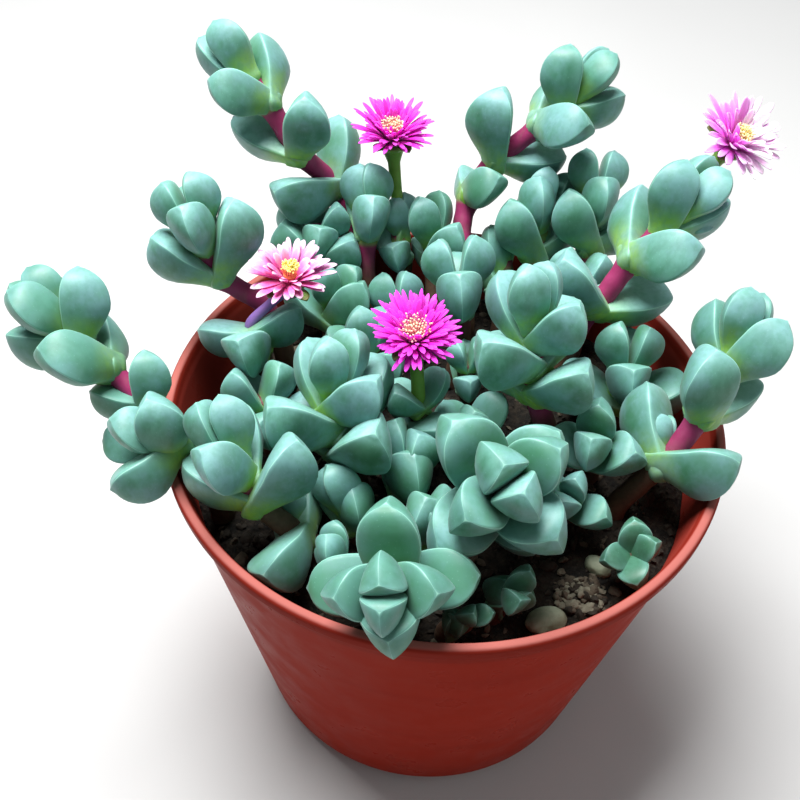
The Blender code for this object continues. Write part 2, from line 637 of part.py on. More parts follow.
class Plant:
    """Every shoot's stem line, leaves and the shifts that keep the shoots apart."""

    def __init__(self):
        self.bodies = []
        self.lines = {}
        self.shifts = {s.name: np.zeros(3) for s in SHOOTS}
        self.firm = {s.name: s.firm for s in SHOOTS}
        self.shifts["pot"] = np.zeros(3)
        self.firm["pot"] = 1e6
        self.add_wall()
        for number, shoot in enumerate(SHOOTS):
            self.grow(number, shoot)
        for flower in FLOWERS:
            self.add_bloom(flower)

    def add_wall(self):
        """The pot's wall above the soil, as a ring of blocks."""
        low = SOIL_EDGE - 6.0
        for i in range(POT_STEPS):
            block = []
            for z, inside in ((low, inner_radius(low)), (POT_HEIGHT, RIM_RADIUS - LIP_WIDTH)):
                for radius, step in ((inside, i), (RIM_RADIUS, i), (RIM_RADIUS, i + 1), (inside, i + 1)):
                    angle = 2 * math.pi * step / POT_STEPS
                    block.append((radius * math.cos(angle), radius * math.sin(angle), z))
            block = np.array(block)
            middle = block.mean(axis=0)
            self.bodies.append(Body("pot", block - middle, BLOCK_FACES, middle, np.eye(3), 0.0, False))

    def add_bloom(self, flower):
        """The room that a flower's calyx and petals take, and its stalk."""
        place = calyx_top(flower, self)
        length = 1.06 * (flower.reach - PETAL_ROOT)
        rings = [(0.8 * CALYX_RADIUS, -2.0)]
        for reach, lift in ((length, flower.lift), (INNER_REACH * length, flower.lift + INNER_LIFT)):
            lift = math.radians(lift)
            rings.append((PETAL_ROOT + reach * math.cos(lift), 1.5 * DISC_HEIGHT + reach * math.sin(lift)))
        cloud = [place @ Vector((radius * math.cos(k * math.pi / 4), radius * math.sin(k * math.pi / 4), z))
                 for radius, z in rings for k in range(8)]
        cloud = np.array(cloud)
        middle = cloud.mean(axis=0)
        self.bodies.append(Body(flower.name, cloud - middle, BLOOM_FACES, middle, np.eye(3), 1.0, False,
                                flower.shoot))
        ends = [self.lines[flower.shoot][-1]] + [np.array(p, float) for p in flower.stalk]
        for low, high in zip(ends, ends[1:]):
            middle = (low + high) / 2
            self.bodies.append(Body(flower.shoot, prism_points(low, high, STALK_RADIUS) - middle, PRISM_FACES,
                                    middle, np.eye(3), 1.0, False))

    def grow(self, number, shoot):
        draw = random.Random(number)
        x, y = shoot.root
        soil = soil_height(x, y)
        start = np.array((x, y, soil + 0.5), float)
        line = hermite_path([start] + [np.array(p, float) for p in shoot.path])
        foot = np.array((x, y, soil - ROOT_DEPTH), float)
        self.lines[shoot.name] = np.vstack([foot, line])
        total = arc_length(line)
        for pair, back in enumerate(shoot.gaps):
            place, axis = at_arc(line, total - back)
            turn = Vector((0, 0, 1)).rotation_difference(Vector(axis)).to_matrix()
            for side in (0, 1):
                azimuth = math.radians(shoot.turn + 90 * pair + 180 * side + draw.uniform(-5, 5))
                out = np.array(turn @ Vector((math.cos(azimuth), math.sin(azimuth), 0)))
                spread = shoot.spreads[pair] + draw.uniform(-3, 3) * (pair > 0)
                size = shoot.size * LEAF_SIZES[pair] * draw.uniform(0.95, 1.05)
                self.add_leaf(shoot.name, place, axis, out, spread, size, (total - back) / total)
                if 2 * pair + side in shoot.buds:
                    self.add_bud(shoot.name, place, axis, out, shoot.size, (total - back) / total)
        count = max(2, int(total / 4))
        for i in range(count):
            low = at_arc(line, total * i / count)[0]
            high = at_arc(line, total * (i + 1) / count)[0]
            radius = self.stem_radius(shoot, (i + 0.5) / count)
            middle = (low + high) / 2
            share = smoothstep((i + 0.5) / count)
            self.bodies.append(Body(shoot.name, prism_points(low, high, radius) - middle, PRISM_FACES,
                                    middle, np.eye(3), share, False))

    def stem_radius(self, shoot, share):
        return STEM_RADIUS * min(1.1, max(0.8, shoot.size)) * (1 + (STEM_TIP - 1) * share)

    def add_leaf(self, owner, place, axis, out, spread, size, share):
        lean = math.radians(spread)
        length = math.cos(lean) * axis + math.sin(lean) * out
        keel = -math.sin(lean) * axis + math.cos(lean) * out
        frame = np.array((np.cross(keel, length), keel, length))
        shape = leaf_points(LEAF_LENGTH * size, LEAF_WIDTH * size, LEAF_DEPTH * size)
        base = place - LEAF_SET * length + LEAF_OFFSET * out
        self.bodies.append(Body(owner, shape, LEAF_FACES, base, frame, smoothstep(share), True))

    def add_bud(self, owner, place, axis, out, size, share):
        """Two small leaves, face to face, in the axil of the leaf on this side."""
        lift = unit(out + 1.1 * axis)
        side = unit(np.cross(axis, out))
        middle = place + BUD_REACH * size * unit(out + 0.4 * axis)
        for sign in (1, -1):
            self.add_leaf(owner, middle, lift, sign * side, BUD_SPREAD, BUD_SIZE * size, share)

    def contacts(self, margin):
        """Pairs of bodies of different shoots that come closer than the margin."""
        clouds = [body.points(self.shifts) for body in self.bodies]
        centres = np.array([cloud.mean(axis=0) for cloud in clouds])
        reaches = np.array([body.reach * body.scale for body in self.bodies])
        axes = {}
        found = []
        for i, body in enumerate(self.bodies):
            far = np.linalg.norm(centres[i + 1:] - centres[i], axis=1)
            near = np.nonzero(far < reaches[i] + reaches[i + 1:] + margin)[0] + i + 1
            for j in near:
                other = self.bodies[j]
                if other.owner == body.owner or other.mover == body.mover and not (other.leans or body.leans):
                    continue
                for k in (i, j):
                    if k not in axes:
                        axes[k] = outward_axes(clouds[k], self.bodies[k].faces)
                between = unit(centres[j] - centres[i])
                tests = np.vstack([axes[i], -axes[j], between[None]])
                over = (clouds[i] @ tests.T).max(axis=0) - (clouds[j] @ tests.T).min(axis=0)
                best = int(np.argmin(over))
                if over[best] > -margin:
                    found.append((i, j, tests[best], over[best] + margin))
        return found, clouds

    def lean(self, body, push, ease):
        """Turn a leaf about its base by a push on its outer part."""
        length = body.frame[2]
        across = push - (push @ length) * length
        turned_to = unit(length + ease * across / (body.reach * 1.3))
        self.aim(body, turned_to)

    def aim(self, body, length):
        turn = Vector(body.frame[2]).rotation_difference(Vector(length)).to_matrix()
        body.frame = np.array([turn @ Vector(row) for row in body.frame])

    def settle(self, rounds):
        """Push shoots apart, and leaves aside, until none crosses a neighbour, the pot or the soil."""
        for step in range(rounds):
            calm = max(0.0, 1 - CALMING * step / rounds)
            found, clouds = self.contacts(GAP)
            for i, j, normal, depth in found:
                first, second = self.bodies[i], self.bodies[j]
                give = 1 / self.firm[first.mover], 1 / self.firm[second.mover]
                total = sum(give)
                for body, sign, part in ((first, -1, give[0] / total), (second, 1, give[1] / total)):
                    push = sign * normal * depth * part
                    if body.leans:
                        self.lean(body, push, LEAN_EASE)
                    self.shifts[body.mover] += SHIFT_EASE * push * (0.2 + body.share)
            for body, cloud in zip(self.bodies, clouds):
                push = self.soil_push(body, cloud)
                if push is not None:
                    self.lean(body, push, SOIL_LEAN)
                    self.shifts[body.owner] += SOIL_SHIFT * push * body.share
            for body in self.bodies:
                if body.leans and calm > 0:
                    self.aim(body, unit(body.frame[2] + SPRING * calm * (body.rest[2] - body.frame[2])))
            for name in self.shifts:
                self.shifts[name] *= 1 - SPRING * calm
        return len(found)

    def soil_push(self, body, cloud):
        """How far a leaf must rise to clear the soil."""
        rise = SOIL_EDGE + SOIL_CROWN + SOIL_LUMP + GAP - cloud[:, 2].min()
        return np.array((0.0, 0.0, rise)) if body.leans and rise > 0 else None

    def shrink(self, rounds):
        """Make the last leaves that still cross a little smaller."""
        for _ in range(rounds):
            found, _ = self.contacts(0.5 * GAP)
            if not found:
                break
            for i, j, _, _ in found:
                pair = [b for b in (self.bodies[i], self.bodies[j]) if b.leans]
                if pair:
                    softest = min(pair, key=lambda body: (self.firm[body.mover], -body.scale))
                    softest.scale *= SHRINK_STEP
        return len(found)

    def stem_line(self, shoot):
        """The stem's points after settling, close enough for its bends."""
        line = self.lines[shoot.name]
        above = line[1:]
        total = arc_length(above)
        count = max(2, round(total / STEM_STEP))
        points = [line[0]]
        for i in range(count + 1):
            share = i / count
            place = at_arc(above, total * share)[0]
            points.append(place + smoothstep(share) * self.shifts[shoot.name])
        return points


def tube(name, points, radii, home):
    """A curve with round sections, made a closed mesh."""
    curve = bpy.data.curves.new(name, "CURVE")
    curve.dimensions = "3D"
    curve.bevel_depth = MM
    curve.bevel_resolution = 1
    curve.use_fill_caps = True
    spline = curve.splines.new("POLY")
    spline.points.add(len(points) - 1)
    for point, place, radius in zip(spline.points, points, radii):
        point.co = (*(Vector(place) * MM), 1)
        point.radius = radius
    obj = new_object(name, curve, home)
    graph = bpy.context.evaluated_depsgraph_get()
    mesh = bpy.data.meshes.new_from_object(obj.evaluated_get(graph))
    bpy.data.objects.remove(obj)
    bm = bmesh.new()
    bm.from_mesh(mesh)
    bmesh.ops.remove_doubles(bm, verts=bm.verts, dist=0.00001)
    bmesh.ops.recalc_face_normals(bm, faces=bm.faces)
    bm.to_mesh(mesh)
    bm.free()
    return new_object(name, mesh, home)


def build_shoot(shoot, plant, flower, home, finish):
    """One shoot: its stem, its leaves and, where it flowers, the stalk and calyx."""
    points = plant.stem_line(shoot)
    shares = [0.0] + [i / (len(points) - 2) for i in range(len(points) - 1)]
    stem = tube(shoot.name, points, [plant.stem_radius(shoot, share) for share in shares], home)
    stem.data.materials.clear()
    stem.data.materials.append(finish)
    pieces = collection(shoot.name + "_leaves")
    for body in plant.bodies:
        if body.owner == shoot.name and body.leans:
            new_object("leaf", mesh_from("leaf", body.points(plant.shifts), LEAF_FACES), pieces)
    if flower:
        shift = plant.shifts[shoot.name]
        line = hermite_path([points[-2]] + [np.array(p) + shift for p in flower.stalk])
        total = arc_length(line)
        stalk = [at_arc(line, total * i / 5)[0] for i in range(6)]
        face = np.array(Vector(flower.face).normalized())
        top = stalk[-1] + CALYX_RISE * face
        radii = [1.0, 1.0, 1.05, 1.15, 1.5, 2.2, CALYX_RADIUS]
        tube("stalk", stalk + [top], radii, pieces)
    boolean(stem, pieces, "UNION")
    bpy.data.collections.remove(pieces)
    return soften(thinned(merged_flats(largest_shell(stem), FLAT_ANGLE)), 38)


def calyx_top(flower, plant):
    """The middle of the calyx's flat top, and the frame that faces the flower's way."""
    shift = plant.shifts[flower.shoot]
    face = Vector(flower.face).normalized()
    top = Vector(np.array(flower.stalk[-1]) + shift) + CALYX_RISE * face
    turn = Vector((0, 0, 1)).rotation_difference(face).to_matrix().to_4x4()
    return Matrix.Translation(top) @ turn


def petal_mesh(name, root, reach, lift, azimuth, width):
    """A narrow, three-sided petal that rises and then bends outwards."""
    stations = ((0.0, 0.5), (0.66, 1.0))
    points = []
    out = Vector((math.cos(azimuth), math.sin(azimuth), 0))
    side = Vector((-math.sin(azimuth), math.cos(azimuth), 0))

    def spine(t):
        rise = reach * math.sin(lift) * ((1 + PETAL_BEND) * t - PETAL_BEND * t * t)
        return out * (root + reach * math.cos(lift) * t) + Vector((0, 0, 0.5 * DISC_HEIGHT + rise))

    for t, share in stations:
        middle = spine(t)
        along = (spine(t + 0.05) - spine(t - 0.05)).normalized()
        normal = along.cross(side).normalized()
        half = 0.5 * width * share
        points += [middle + half * side, middle - half * side, middle + PETAL_THICKNESS * normal]
    points.append(spine(1.0))
    faces = [(0, 1, 2)]
    for i in range(3):
        j = (i + 1) % 3
        faces += [(j, i, 3 + i), (j, 3 + i, 3 + j), (3 + j, 3 + i, 6)]
    mesh = mesh_from(name, points, faces)
    bm = bmesh.new()
    bm.from_mesh(mesh)
    bmesh.ops.recalc_face_normals(bm, faces=bm.faces)
    bm.to_mesh(mesh)
    bm.free()
    return mesh


def build_flower(flower, plant, home, petal_finish, stamen_finish):
    """The petals in two layers on a disc, and the stamens that stand on it."""
    place = calyx_top(flower, plant)
    draw = random.Random(flower.name)
    bm = bmesh.new()
    bmesh.ops.create_cone(bm, cap_ends=True, segments=12, radius1=DISC_RADIUS, radius2=DISC_RADIUS,
                          depth=DISC_HEIGHT, matrix=Matrix.Translation((0, 0, 0.5 * DISC_HEIGHT)))
    petals = bmesh_object(flower.name + "_petals", bm, home, petal_finish)
    blades = collection(flower.name + "_blades")
    inner = flower.petals * 2 // 5
    outer = flower.petals - inner
    layers = ((outer, PETAL_ROOT, 1.0, flower.lift),
              (inner, PETAL_ROOT - 0.5, INNER_REACH, flower.lift + INNER_LIFT))
    for count, root, reach, lift in layers:
        for i in range(count):
            azimuth = 2 * math.pi * (i + draw.uniform(-0.2, 0.2)) / count
            length = (flower.reach - root) * reach * draw.uniform(0.92, 1.06)
            tilt = math.radians(lift + draw.uniform(-4, 4))
            blade = petal_mesh("blade", root, length, tilt, azimuth, PETAL_WIDTH)
            new_object("blade", blade, blades)
    boolean(petals, blades, "UNION")
    bpy.data.collections.remove(blades)
    merged_flats(largest_shell(petals), FLAT_ANGLE)
    move = Matrix.Scale(MM, 4) @ Matrix.Translation(GAP * Vector(flower.face).normalized()) @ place
    petals.data.transform(move @ Matrix.Scale(1 / MM, 4))

    bm = bmesh.new()
    bmesh.ops.create_cone(bm, cap_ends=True, segments=6, radius1=1.25, radius2=1.0, depth=1.0,
                          matrix=Matrix.Translation((0, 0, 0.5)))
    stamens = bmesh_object(flower.name + "_stamens", bm, home, stamen_finish)
    spikes = collection(flower.name + "_spikes")
    for i in range(STAMENS):
        angle = i * SPIRAL
        reach = BRUSH_RADIUS * math.sqrt((i + 0.5) / STAMENS)
        lean = Matrix.Rotation(STAMEN_LEAN * reach, 4, (-math.sin(angle), math.cos(angle), 0))
        foot = Matrix.Translation((reach * math.cos(angle), reach * math.sin(angle), 0.5))
        bm = bmesh.new()
        stand = Matrix.Translation((0, 0, 0.5 * STAMEN_HEIGHT))
        bmesh.ops.create_cone(bm, cap_ends=True, segments=3, radius1=0.9 * STAMEN_RADIUS,
                              radius2=1.1 * STAMEN_RADIUS, depth=STAMEN_HEIGHT, matrix=foot @ lean @ stand)
        bmesh_object("spike", bm, spikes)
    boolean(stamens, spikes, "UNION")
    bpy.data.collections.remove(spikes)
    largest_shell(stamens)
    lift = Vector(flower.face).normalized() * (2 * GAP + DISC_HEIGHT)
    move = Matrix.Scale(MM, 4) @ Matrix.Translation(lift) @ place
    stamens.data.transform(move @ Matrix.Scale(1 / MM, 4))
    return petals, stamens


def settled_plant():
    plant = Plant()
    plant.settle(SETTLE_ROUNDS)
    plant.shrink(SHRINK_ROUNDS)
    return plant


def main():
    clear_scene()
    bpy.context.scene.unit_settings.system = "METRIC"
    home = collection("potted_succulent")
    plant = settled_plant()
    build_pot(home)
    roots = [(shoot.root, plant.stem_radius(shoot, 0)) for shoot in SHOOTS]
    build_soil(home, roots)
    pebble_finish = material("pebble", 0.7)
    for number, (spot, radii, turn) in enumerate(PEBBLES):
        name = ("pebble_front", "pebble_right")[number]
        soften(bmesh_object(name, pebble_mesh(number, spot, radii, turn, 0.0), home, pebble_finish), 50)
    build_grit(home)
    leaf_finish = material("leaf", 0.55)
    petal_finish = material("petal", 0.5)
    stamen_finish = material("stamen", 0.6)
    flowering = {flower.shoot: flower for flower in FLOWERS}
    for shoot in SHOOTS:
        build_shoot(shoot, plant, flowering.get(shoot.name), home, leaf_finish)
    for flower in FLOWERS:
        build_flower(flower, plant, home, petal_finish, stamen_finish)


if __name__ == "__main__":
    main()
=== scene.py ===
"""The looks of the potted succulent: finer leaves, stems, flowers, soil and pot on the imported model.

The plant's own numbers and rules are repeated here, so each finer piece stands where its
solid does. Sizes and places are in millimetres and are turned into metres with each mesh.
"""

import json
import math
import random
from collections import namedtuple

import bmesh
import bpy
import numpy as np
from mathutils import Matrix, Vector, noise

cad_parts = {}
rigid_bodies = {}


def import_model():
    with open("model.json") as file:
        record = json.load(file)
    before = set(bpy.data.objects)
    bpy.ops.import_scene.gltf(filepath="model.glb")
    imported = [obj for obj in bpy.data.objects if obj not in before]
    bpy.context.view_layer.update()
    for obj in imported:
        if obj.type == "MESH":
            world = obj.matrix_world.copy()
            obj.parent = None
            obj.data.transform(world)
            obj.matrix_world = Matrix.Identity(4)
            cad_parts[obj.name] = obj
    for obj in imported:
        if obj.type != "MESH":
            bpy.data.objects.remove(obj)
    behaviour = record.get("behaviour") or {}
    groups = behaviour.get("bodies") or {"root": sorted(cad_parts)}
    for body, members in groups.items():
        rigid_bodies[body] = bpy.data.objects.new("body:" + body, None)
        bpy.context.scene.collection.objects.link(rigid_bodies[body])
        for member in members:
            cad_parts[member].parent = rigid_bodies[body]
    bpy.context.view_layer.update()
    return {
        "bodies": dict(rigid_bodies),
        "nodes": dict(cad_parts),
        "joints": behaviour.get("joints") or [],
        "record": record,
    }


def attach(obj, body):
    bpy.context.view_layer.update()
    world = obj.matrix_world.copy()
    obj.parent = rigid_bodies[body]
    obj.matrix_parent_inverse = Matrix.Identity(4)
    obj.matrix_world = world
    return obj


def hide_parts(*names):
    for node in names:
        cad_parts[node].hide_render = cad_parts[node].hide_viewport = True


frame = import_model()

MM = 0.001
GAP = 0.35  # clearance between neighbouring solids

# Pot
RIM_RADIUS = 55.0
POT_HEIGHT = 87.0
LIP_WIDTH = 2.2
LIP_DROP = 3.4
WALL = 1.3
SHOULDER_RADIUS = 53.4  # outside of the wall just under the lip
HEEL_RADIUS = 39.6  # outside of the wall where it turns in to the foot
HEEL_HEIGHT = 5.0
HEEL_CORNER = 1.2  # slope between the pot's floor and its wall, inside
HEEL_TURN = 2.2  # how far down the outside slopes in from heel to foot
FOOT_DRAFT = 0.5  # slope of the foot's and the pad's sides
FOOT_RADIUS = 36.4
FOOT_INNER_RADIUS = 33.0
PAD_RADIUS = 13.0
RECESS = 2.0  # how far the underside between pad and foot is raised
FLOOR = 1.6
POT_STEPS = 36
DRAINS = 6
DRAIN_RADIUS = 1.8
DRAIN_CIRCLE = 23.0

# Soil
SOIL_EDGE = 72.0  # height of the soil at the pot wall
SOIL_CROWN = 2.5  # how much higher it lies in the middle
SOIL_LUMP = 0.9
SOIL_GRAIN = 0.09  # lumps for each millimetre
SOIL_FINER = 2.6  # how much finer its second set of lumps is
ROOT_DEPTH = 7.0  # how deep each stem stands in its hole
PEBBLE_SINK = 0.35  # how high a pebble's middle lies over the soil, as a share of its height
PEBBLE_DENT = 0.10
PEBBLES = (((22.0, -38.5), (4.0, 2.7, 2.1), 20.0), ((31.6, -25.6), (2.7, 1.9, 1.8), -35.0))
GRIT_CENTRE = (28.0, -32.2)
GRIT_RADIUS = 3.5

# Leaves
LEAF_LENGTH = 15.0
LEAF_WIDTH = 9.5
LEAF_DEPTH = 8.2
NECK = 0.70  # width of the section at the stem, as a share of the full width
KEEL_NECK = 0.52  # depth of the section at the stem, likewise
SHOULDER = 0.60  # share of the length at which the leaf is thickest
TIP_HEIGHT = 0.32  # the apex lies nearer the inner face than the keel
TIP_FALL = 2.6  # how late and how bluntly the leaf closes in to its apex
TIP_BLUNT = 0.50
LEAF_CURL = 0.07
MARGIN_RISE = 0.04
FLANK_HEIGHT = 0.52
FLANK_BULGE, FLANK_FADE = 0.17, 0.07
LEAF_STATIONS = (0.0, 0.56, 0.87)
LEAF_SIDES = 5
LEAF_SPREADS = (12, 34, 52, 64, 74)
LEAF_SIZES = (0.76, 0.91, 1.03, 1.06, 0.84)
LEAF_GAPS = (0.0, 4.5, 10.5)
LEAF_SET = 2.8  # how far a leaf's base is sunk into its stem
LEAF_OFFSET = 0.12  # how far its base stands off the stem's middle
BUD_SIZE = 0.48
BUD_REACH = 3.4  # how far from the stem's middle a bud's two leaves start
BUD_SPREAD = 12
BUD_LIFT, BUD_RISE = 1.1, 0.4  # how steeply it points, and its foot
TURN_JITTER, SPREAD_JITTER = 5, 3  # in degrees
SIZE_JITTER = (0.95, 1.05)

# Stems
STEM_RADIUS = 2.0
STEM_SIZES = (0.8, 1.1)  # least and greatest, by the shoot's size
STEM_START = 0.5  # how far over the soil its curve starts
STEM_PIECE = 4  # length of the straight pieces that keep their distance
STEM_TIP = 0.82  # share of the radius that is left at the tip
PATH_STEPS = 12  # straight pieces between two points of a path

# Settling, which keeps the shoots clear of each other
SETTLE_ROUNDS = 70
SHRINK_ROUNDS = 25
LEAN_EASE = 0.55  # share of each overlap that a leaf leans away in one round
SHIFT_EASE = 0.16  # share that its shoot moves away
SOIL_LEAN = 0.8
SOIL_SHIFT = 0.12
SPRING = 0.04  # share of its lean and shift that a shoot takes back each round
CALMING = 1.6  # how early that taking back fades out
SHRINK_STEP = 0.97
LEAN_ARM = 1.3
LEAST_SHIFT = 0.2  # share of a push that moves the shoot even from its foot
WALL_DEPTH = 6.0  # how far under the soil's edge the pot's wall is kept clear

# Flowers
CALYX_RADIUS = 3.0
CALYX_RISE = 1.6
STALK_RADIUS = 1.5
INNER_LIFT = 22  # how many degrees steeper the inner petals rise than the outer
DISC_HEIGHT = 1.2
PETAL_ROOT = 1.95  # how far from its axis a flower's outer petals start
PETAL_BEND = 0.35  # how much of its rise a petal loses towards its tip
INNER_REACH = 0.84
BLOOM_REACH = 1.06  # the room kept clear for the petals, as a share of their reach
BLOOM_FOOT = (0.8, -2.0)  # where it starts: a share of the calyx's radius, and a height

# A shoot leaves the soil at root. Its axis passes the points of its path, and its
# youngest pair of leaves sits at the last of them, turned by turn degrees about it.
# Pairs stand gaps back from the tip, each a right angle round from the last, and
# lean out by spreads degrees. An axil in buds, counted as pair * 2 + side, holds a
# small bud. A firm shoot gives way less where two shoots meet.
Shoot = namedtuple("Shoot", "name root path turn gaps spreads size buds firm",
                   defaults=(LEAF_GAPS, LEAF_SPREADS, 1.0, (), 1.0))

# A flower stands on its own stalk, which grows from a shoot's tip, and faces a way. Then come its
# petals' reach, lift in degrees, number, width and colours at foot, middle and tip, its brush's
# spread and colours of filament and anther, and how slim and how purple its stalk is.
Flower = namedtuple("Flower", "name shoot stalk face reach lift petals petal_width petal_tones "
                              "brush_spread brush_tones stalk_slim purple")

SHOOTS = (
    # Heads that face the front, with their stems hidden under them
    Shoot("front_shoot", (-4, -32), ((-4.5, -39, 82), (-6, -46, 90.5), (-6.5, -51, 96)), 95,
          (0, 3.8, 7.6, 11.4), (4, 32, 52, 72), 1.08, (), 6),
    Shoot("front_right_shoot", (9, -18), ((10, -22, 87), (10.5, -27, 95.5), (11, -31.8, 102.8)), 135,
          (0, 4.2, 8.8, 14.0, 19.5), (5, 33, 43, 54, 64), 1.24, (), 6),
    Shoot("centre_right_shoot", (23, -3), ((18, -3, 92), (15.5, -1, 101), (15, 2, 111)), 50,
          (0, 4.0, 8.5, 14.0), (7, 38, 54, 64), 1.12, (), 6),
    Shoot("centre_left_shoot", (-15, -15), ((-18, -14, 86), (-20.5, -12.5, 93), (-20, -10, 100)), 50,
          (0, 4.0, 8.0, 13.0), (9, 38, 54, 64), 1.14, (), 6),
    Shoot("left_shoot", (-22, -29),
          ((-25, -30, 81), (-31, -29, 87), (-34.5, -27, 92.5), (-37.5, -24.5, 98)), 0,
          (0, 4.5, 9.5, 21.0), (7, 38, 52, 74), 1.08, (7,), 6),

    # Long arms that reach over the rim
    Shoot("back_left_arm", (-22, 38),
          ((-24, 44, 90), (-29, 49, 101), (-35.5, 47, 110), (-42, 49, 120), (-48, 52, 125.5)), -25,
          (0, 6.5, 18.5, 31.0), (9, 36, 46, 52), 1.10, (), 4),
    Shoot("left_arm", (-38, -13),
          ((-43, -16, 86), (-51, -16, 92), (-60, -12.5, 98.5), (-66, -10, 102.5), (-72.8, -6.5, 108)), 5,
          (0, 2.4, 5.4, 12.5, 22.5), (8, 30, 48, 46, 48), 0.96, (), 4),
    Shoot("upper_left_arm", (-34, 16),
          ((-38, 18.5, 90), (-44, 18, 96), (-47, 17, 99.5), (-49, 17.5, 105), (-51.5, 19, 111.5)), 15,
          (0, 3.4, 10.0), (9, 34, 34), 1.06, (), 4),
    Shoot("back_right_arm", (3, 35),
          ((1, 41, 88), (0.5, 49, 96), (4, 55, 103), (11, 57, 110.5), (19, 59.5, 117), (23, 62, 122)),
          100, (0, 4.2, 10.0, 21.5, 32.0), (8, 40, 50, 48, 62), 1.06, (), 4),
    Shoot("right_arm", (24, 18),
          ((26, 20, 92), (29.8, 21, 100), (33.7, 23.5, 107), (38.6, 26.5, 112.5), (43.6, 30, 118.5)), -70,
          (0.5, 5.0, 13.0, 25.0), (10, 32, 48, 62), 1.10, (2,), 4),
    Shoot("far_right_arm", (35, -12),
          ((39, -11, 82), (43.5, -9.5, 89), (48.5, -4.5, 96), (51.3, -0.5, 101.5), (53, 3.5, 107)), 40,
          (0, 4.0, 13.0, 25.0), (7, 32, 46, 60), 1.06, (6, 7), 4),

    # Shorter shoots that carry the flowers on the left, in the middle and at the back
    Shoot("left_flower_shoot", (-33, 5), ((-37, 8, 87), (-39.5, 11.5, 94.5)), 5, (0, 3.5), (74, 70), 1.14,
          (), 3),
    Shoot("middle_flower_shoot", (-4, -4), ((-5, -4, 91),), 40, (0, 5.0), (44, 64), 0.9),
    Shoot("back_flower_shoot", (-11, 41), ((-13, 46, 93),), 30, (0, 5.0), (40, 60), 0.92),

    # Shoots that fill the pot between them
    Shoot("shoot_upper_middle", (2, 18), ((2, 20, 87), (1, 23, 94), (0.5, 24.5, 98)), 5,
          (0, 4.5), (14, 42), 1.1),
    Shoot("shoot_middle", (5, 9), ((4, 9, 84), (4, 9, 90)), 5, (0, 4.5), (16, 44), 0.74),
    Shoot("shoot_middle_low", (5, -7), ((5, -7, 82), (6, -6, 87)), 60, (0, 5), (24, 58), 1.06),
    Shoot("shoot_back_left", (-17, 31), ((-20, 37, 87), (-21, 44, 98)), 5,
          (0, 4.0), (10, 44), 1.0),
    Shoot("shoot_back_left_edge", (-28, 33), ((-29, 40, 86), (-29, 44, 96)), 0,
          (0, 4.0, 8.5), (12, 44, 64), 0.96),
    Shoot("shoot_back", (-4, 33), ((-6, 40, 87), (-8, 44, 96)), 50, (0, 4.5), (16, 46), 1.0),
    Shoot("shoot_back_right", (17, 35), ((18, 42, 90), (20, 49, 100)), 20,
          (0, 4.5, 9.5), (14, 40, 58), 0.96),
    Shoot("shoot_back_right_far", (27, 36), ((26, 43, 90), (25, 51, 103)), 10,
          (0, 5, 10.5), (14, 40, 56), 0.98),
    Shoot("shoot_back_middle", (11, 37), ((12, 40, 82), (13, 44, 90)), 70, (0, 5), (14, 46), 0.96),
    Shoot("shoot_back_inner", (24, 28), ((24, 35, 81), (24, 41, 89)), 15, (0, 5), (14, 46), 1.0),
    Shoot("shoot_right_back", (36, 12), ((36, 12, 83), (36, 13, 90)), 0,
          (0, 4.5, 9.0), (12, 42, 62), 1.04),
    Shoot("shoot_right", (30, -4), ((30, -6, 82), (29, -8, 89)), 80, (0, 4.5), (14, 46), 1.04),
    Shoot("shoot_right_low", (27, -15), ((26, -17, 80), (25, -19, 85)), 60, (0, 4.5), (14, 46), 0.8),
    Shoot("shoot_right_edge", (39, -23), ((38, -26, 75.5), (37.3, -28, 78.4)), 20, (0, 2.0), (42, 78), 0.74),
    Shoot("shoot_left_rim", (-41, -21), ((-46, -20, 86), (-51, -18.5, 90.0)), 100, (0, 2.6), (26, 88), 1.14),
    Shoot("shoot_left_gap", (-34, -4), ((-35, -4, 82), (-36, -3, 88)), 30, (0, 4.5), (18, 56), 1.0),
    Shoot("shoot_left_back", (-26, 25), ((-26, 30, 80), (-26, 33, 86)), 60, (0, 5), (18, 50), 1.0),
    Shoot("shoot_left_middle", (-12, 24), ((-13, 28, 80), (-14, 30, 84)), 20, (0, 5), (20, 54), 1.0),
    Shoot("shoot_left_inner", (-18, 12), ((-18, 15, 80), (-17, 18, 85)), 45, (0, 5), (20, 54), 1.0),
    Shoot("shoot_centre_low", (-6, -16), ((-7, -16, 78), (-8, -16, 83)), 10, (0, 5), (18, 54), 1.1),
    Shoot("shoot_left_low", (-14, -24), ((-16, -22, 78), (-18, -20, 81)), 10, (0, 5), (18, 56), 0.96),
    Shoot("shoot_front_middle", (-1, -26), ((-2, -26, 76), (-3, -26, 80)), 160, (0, 4), (50, 64), 1.0),
    Shoot("shoot_front_left", (-15, -37), ((-18, -37, 77), (-19, -36, 80)), 85, (0, 4.5), (12, 54), 0.74),
    Shoot("shoot_front_low", (12, -38), ((14, -39, 77), (15, -40, 80)), 75, (0, 4.5), (20, 60), 0.7),
    Shoot("shoot_front_edge", (4, -43), ((6, -44, 76), (8, -45, 79)), 20, (0, 4), (20, 60), 0.56),
)

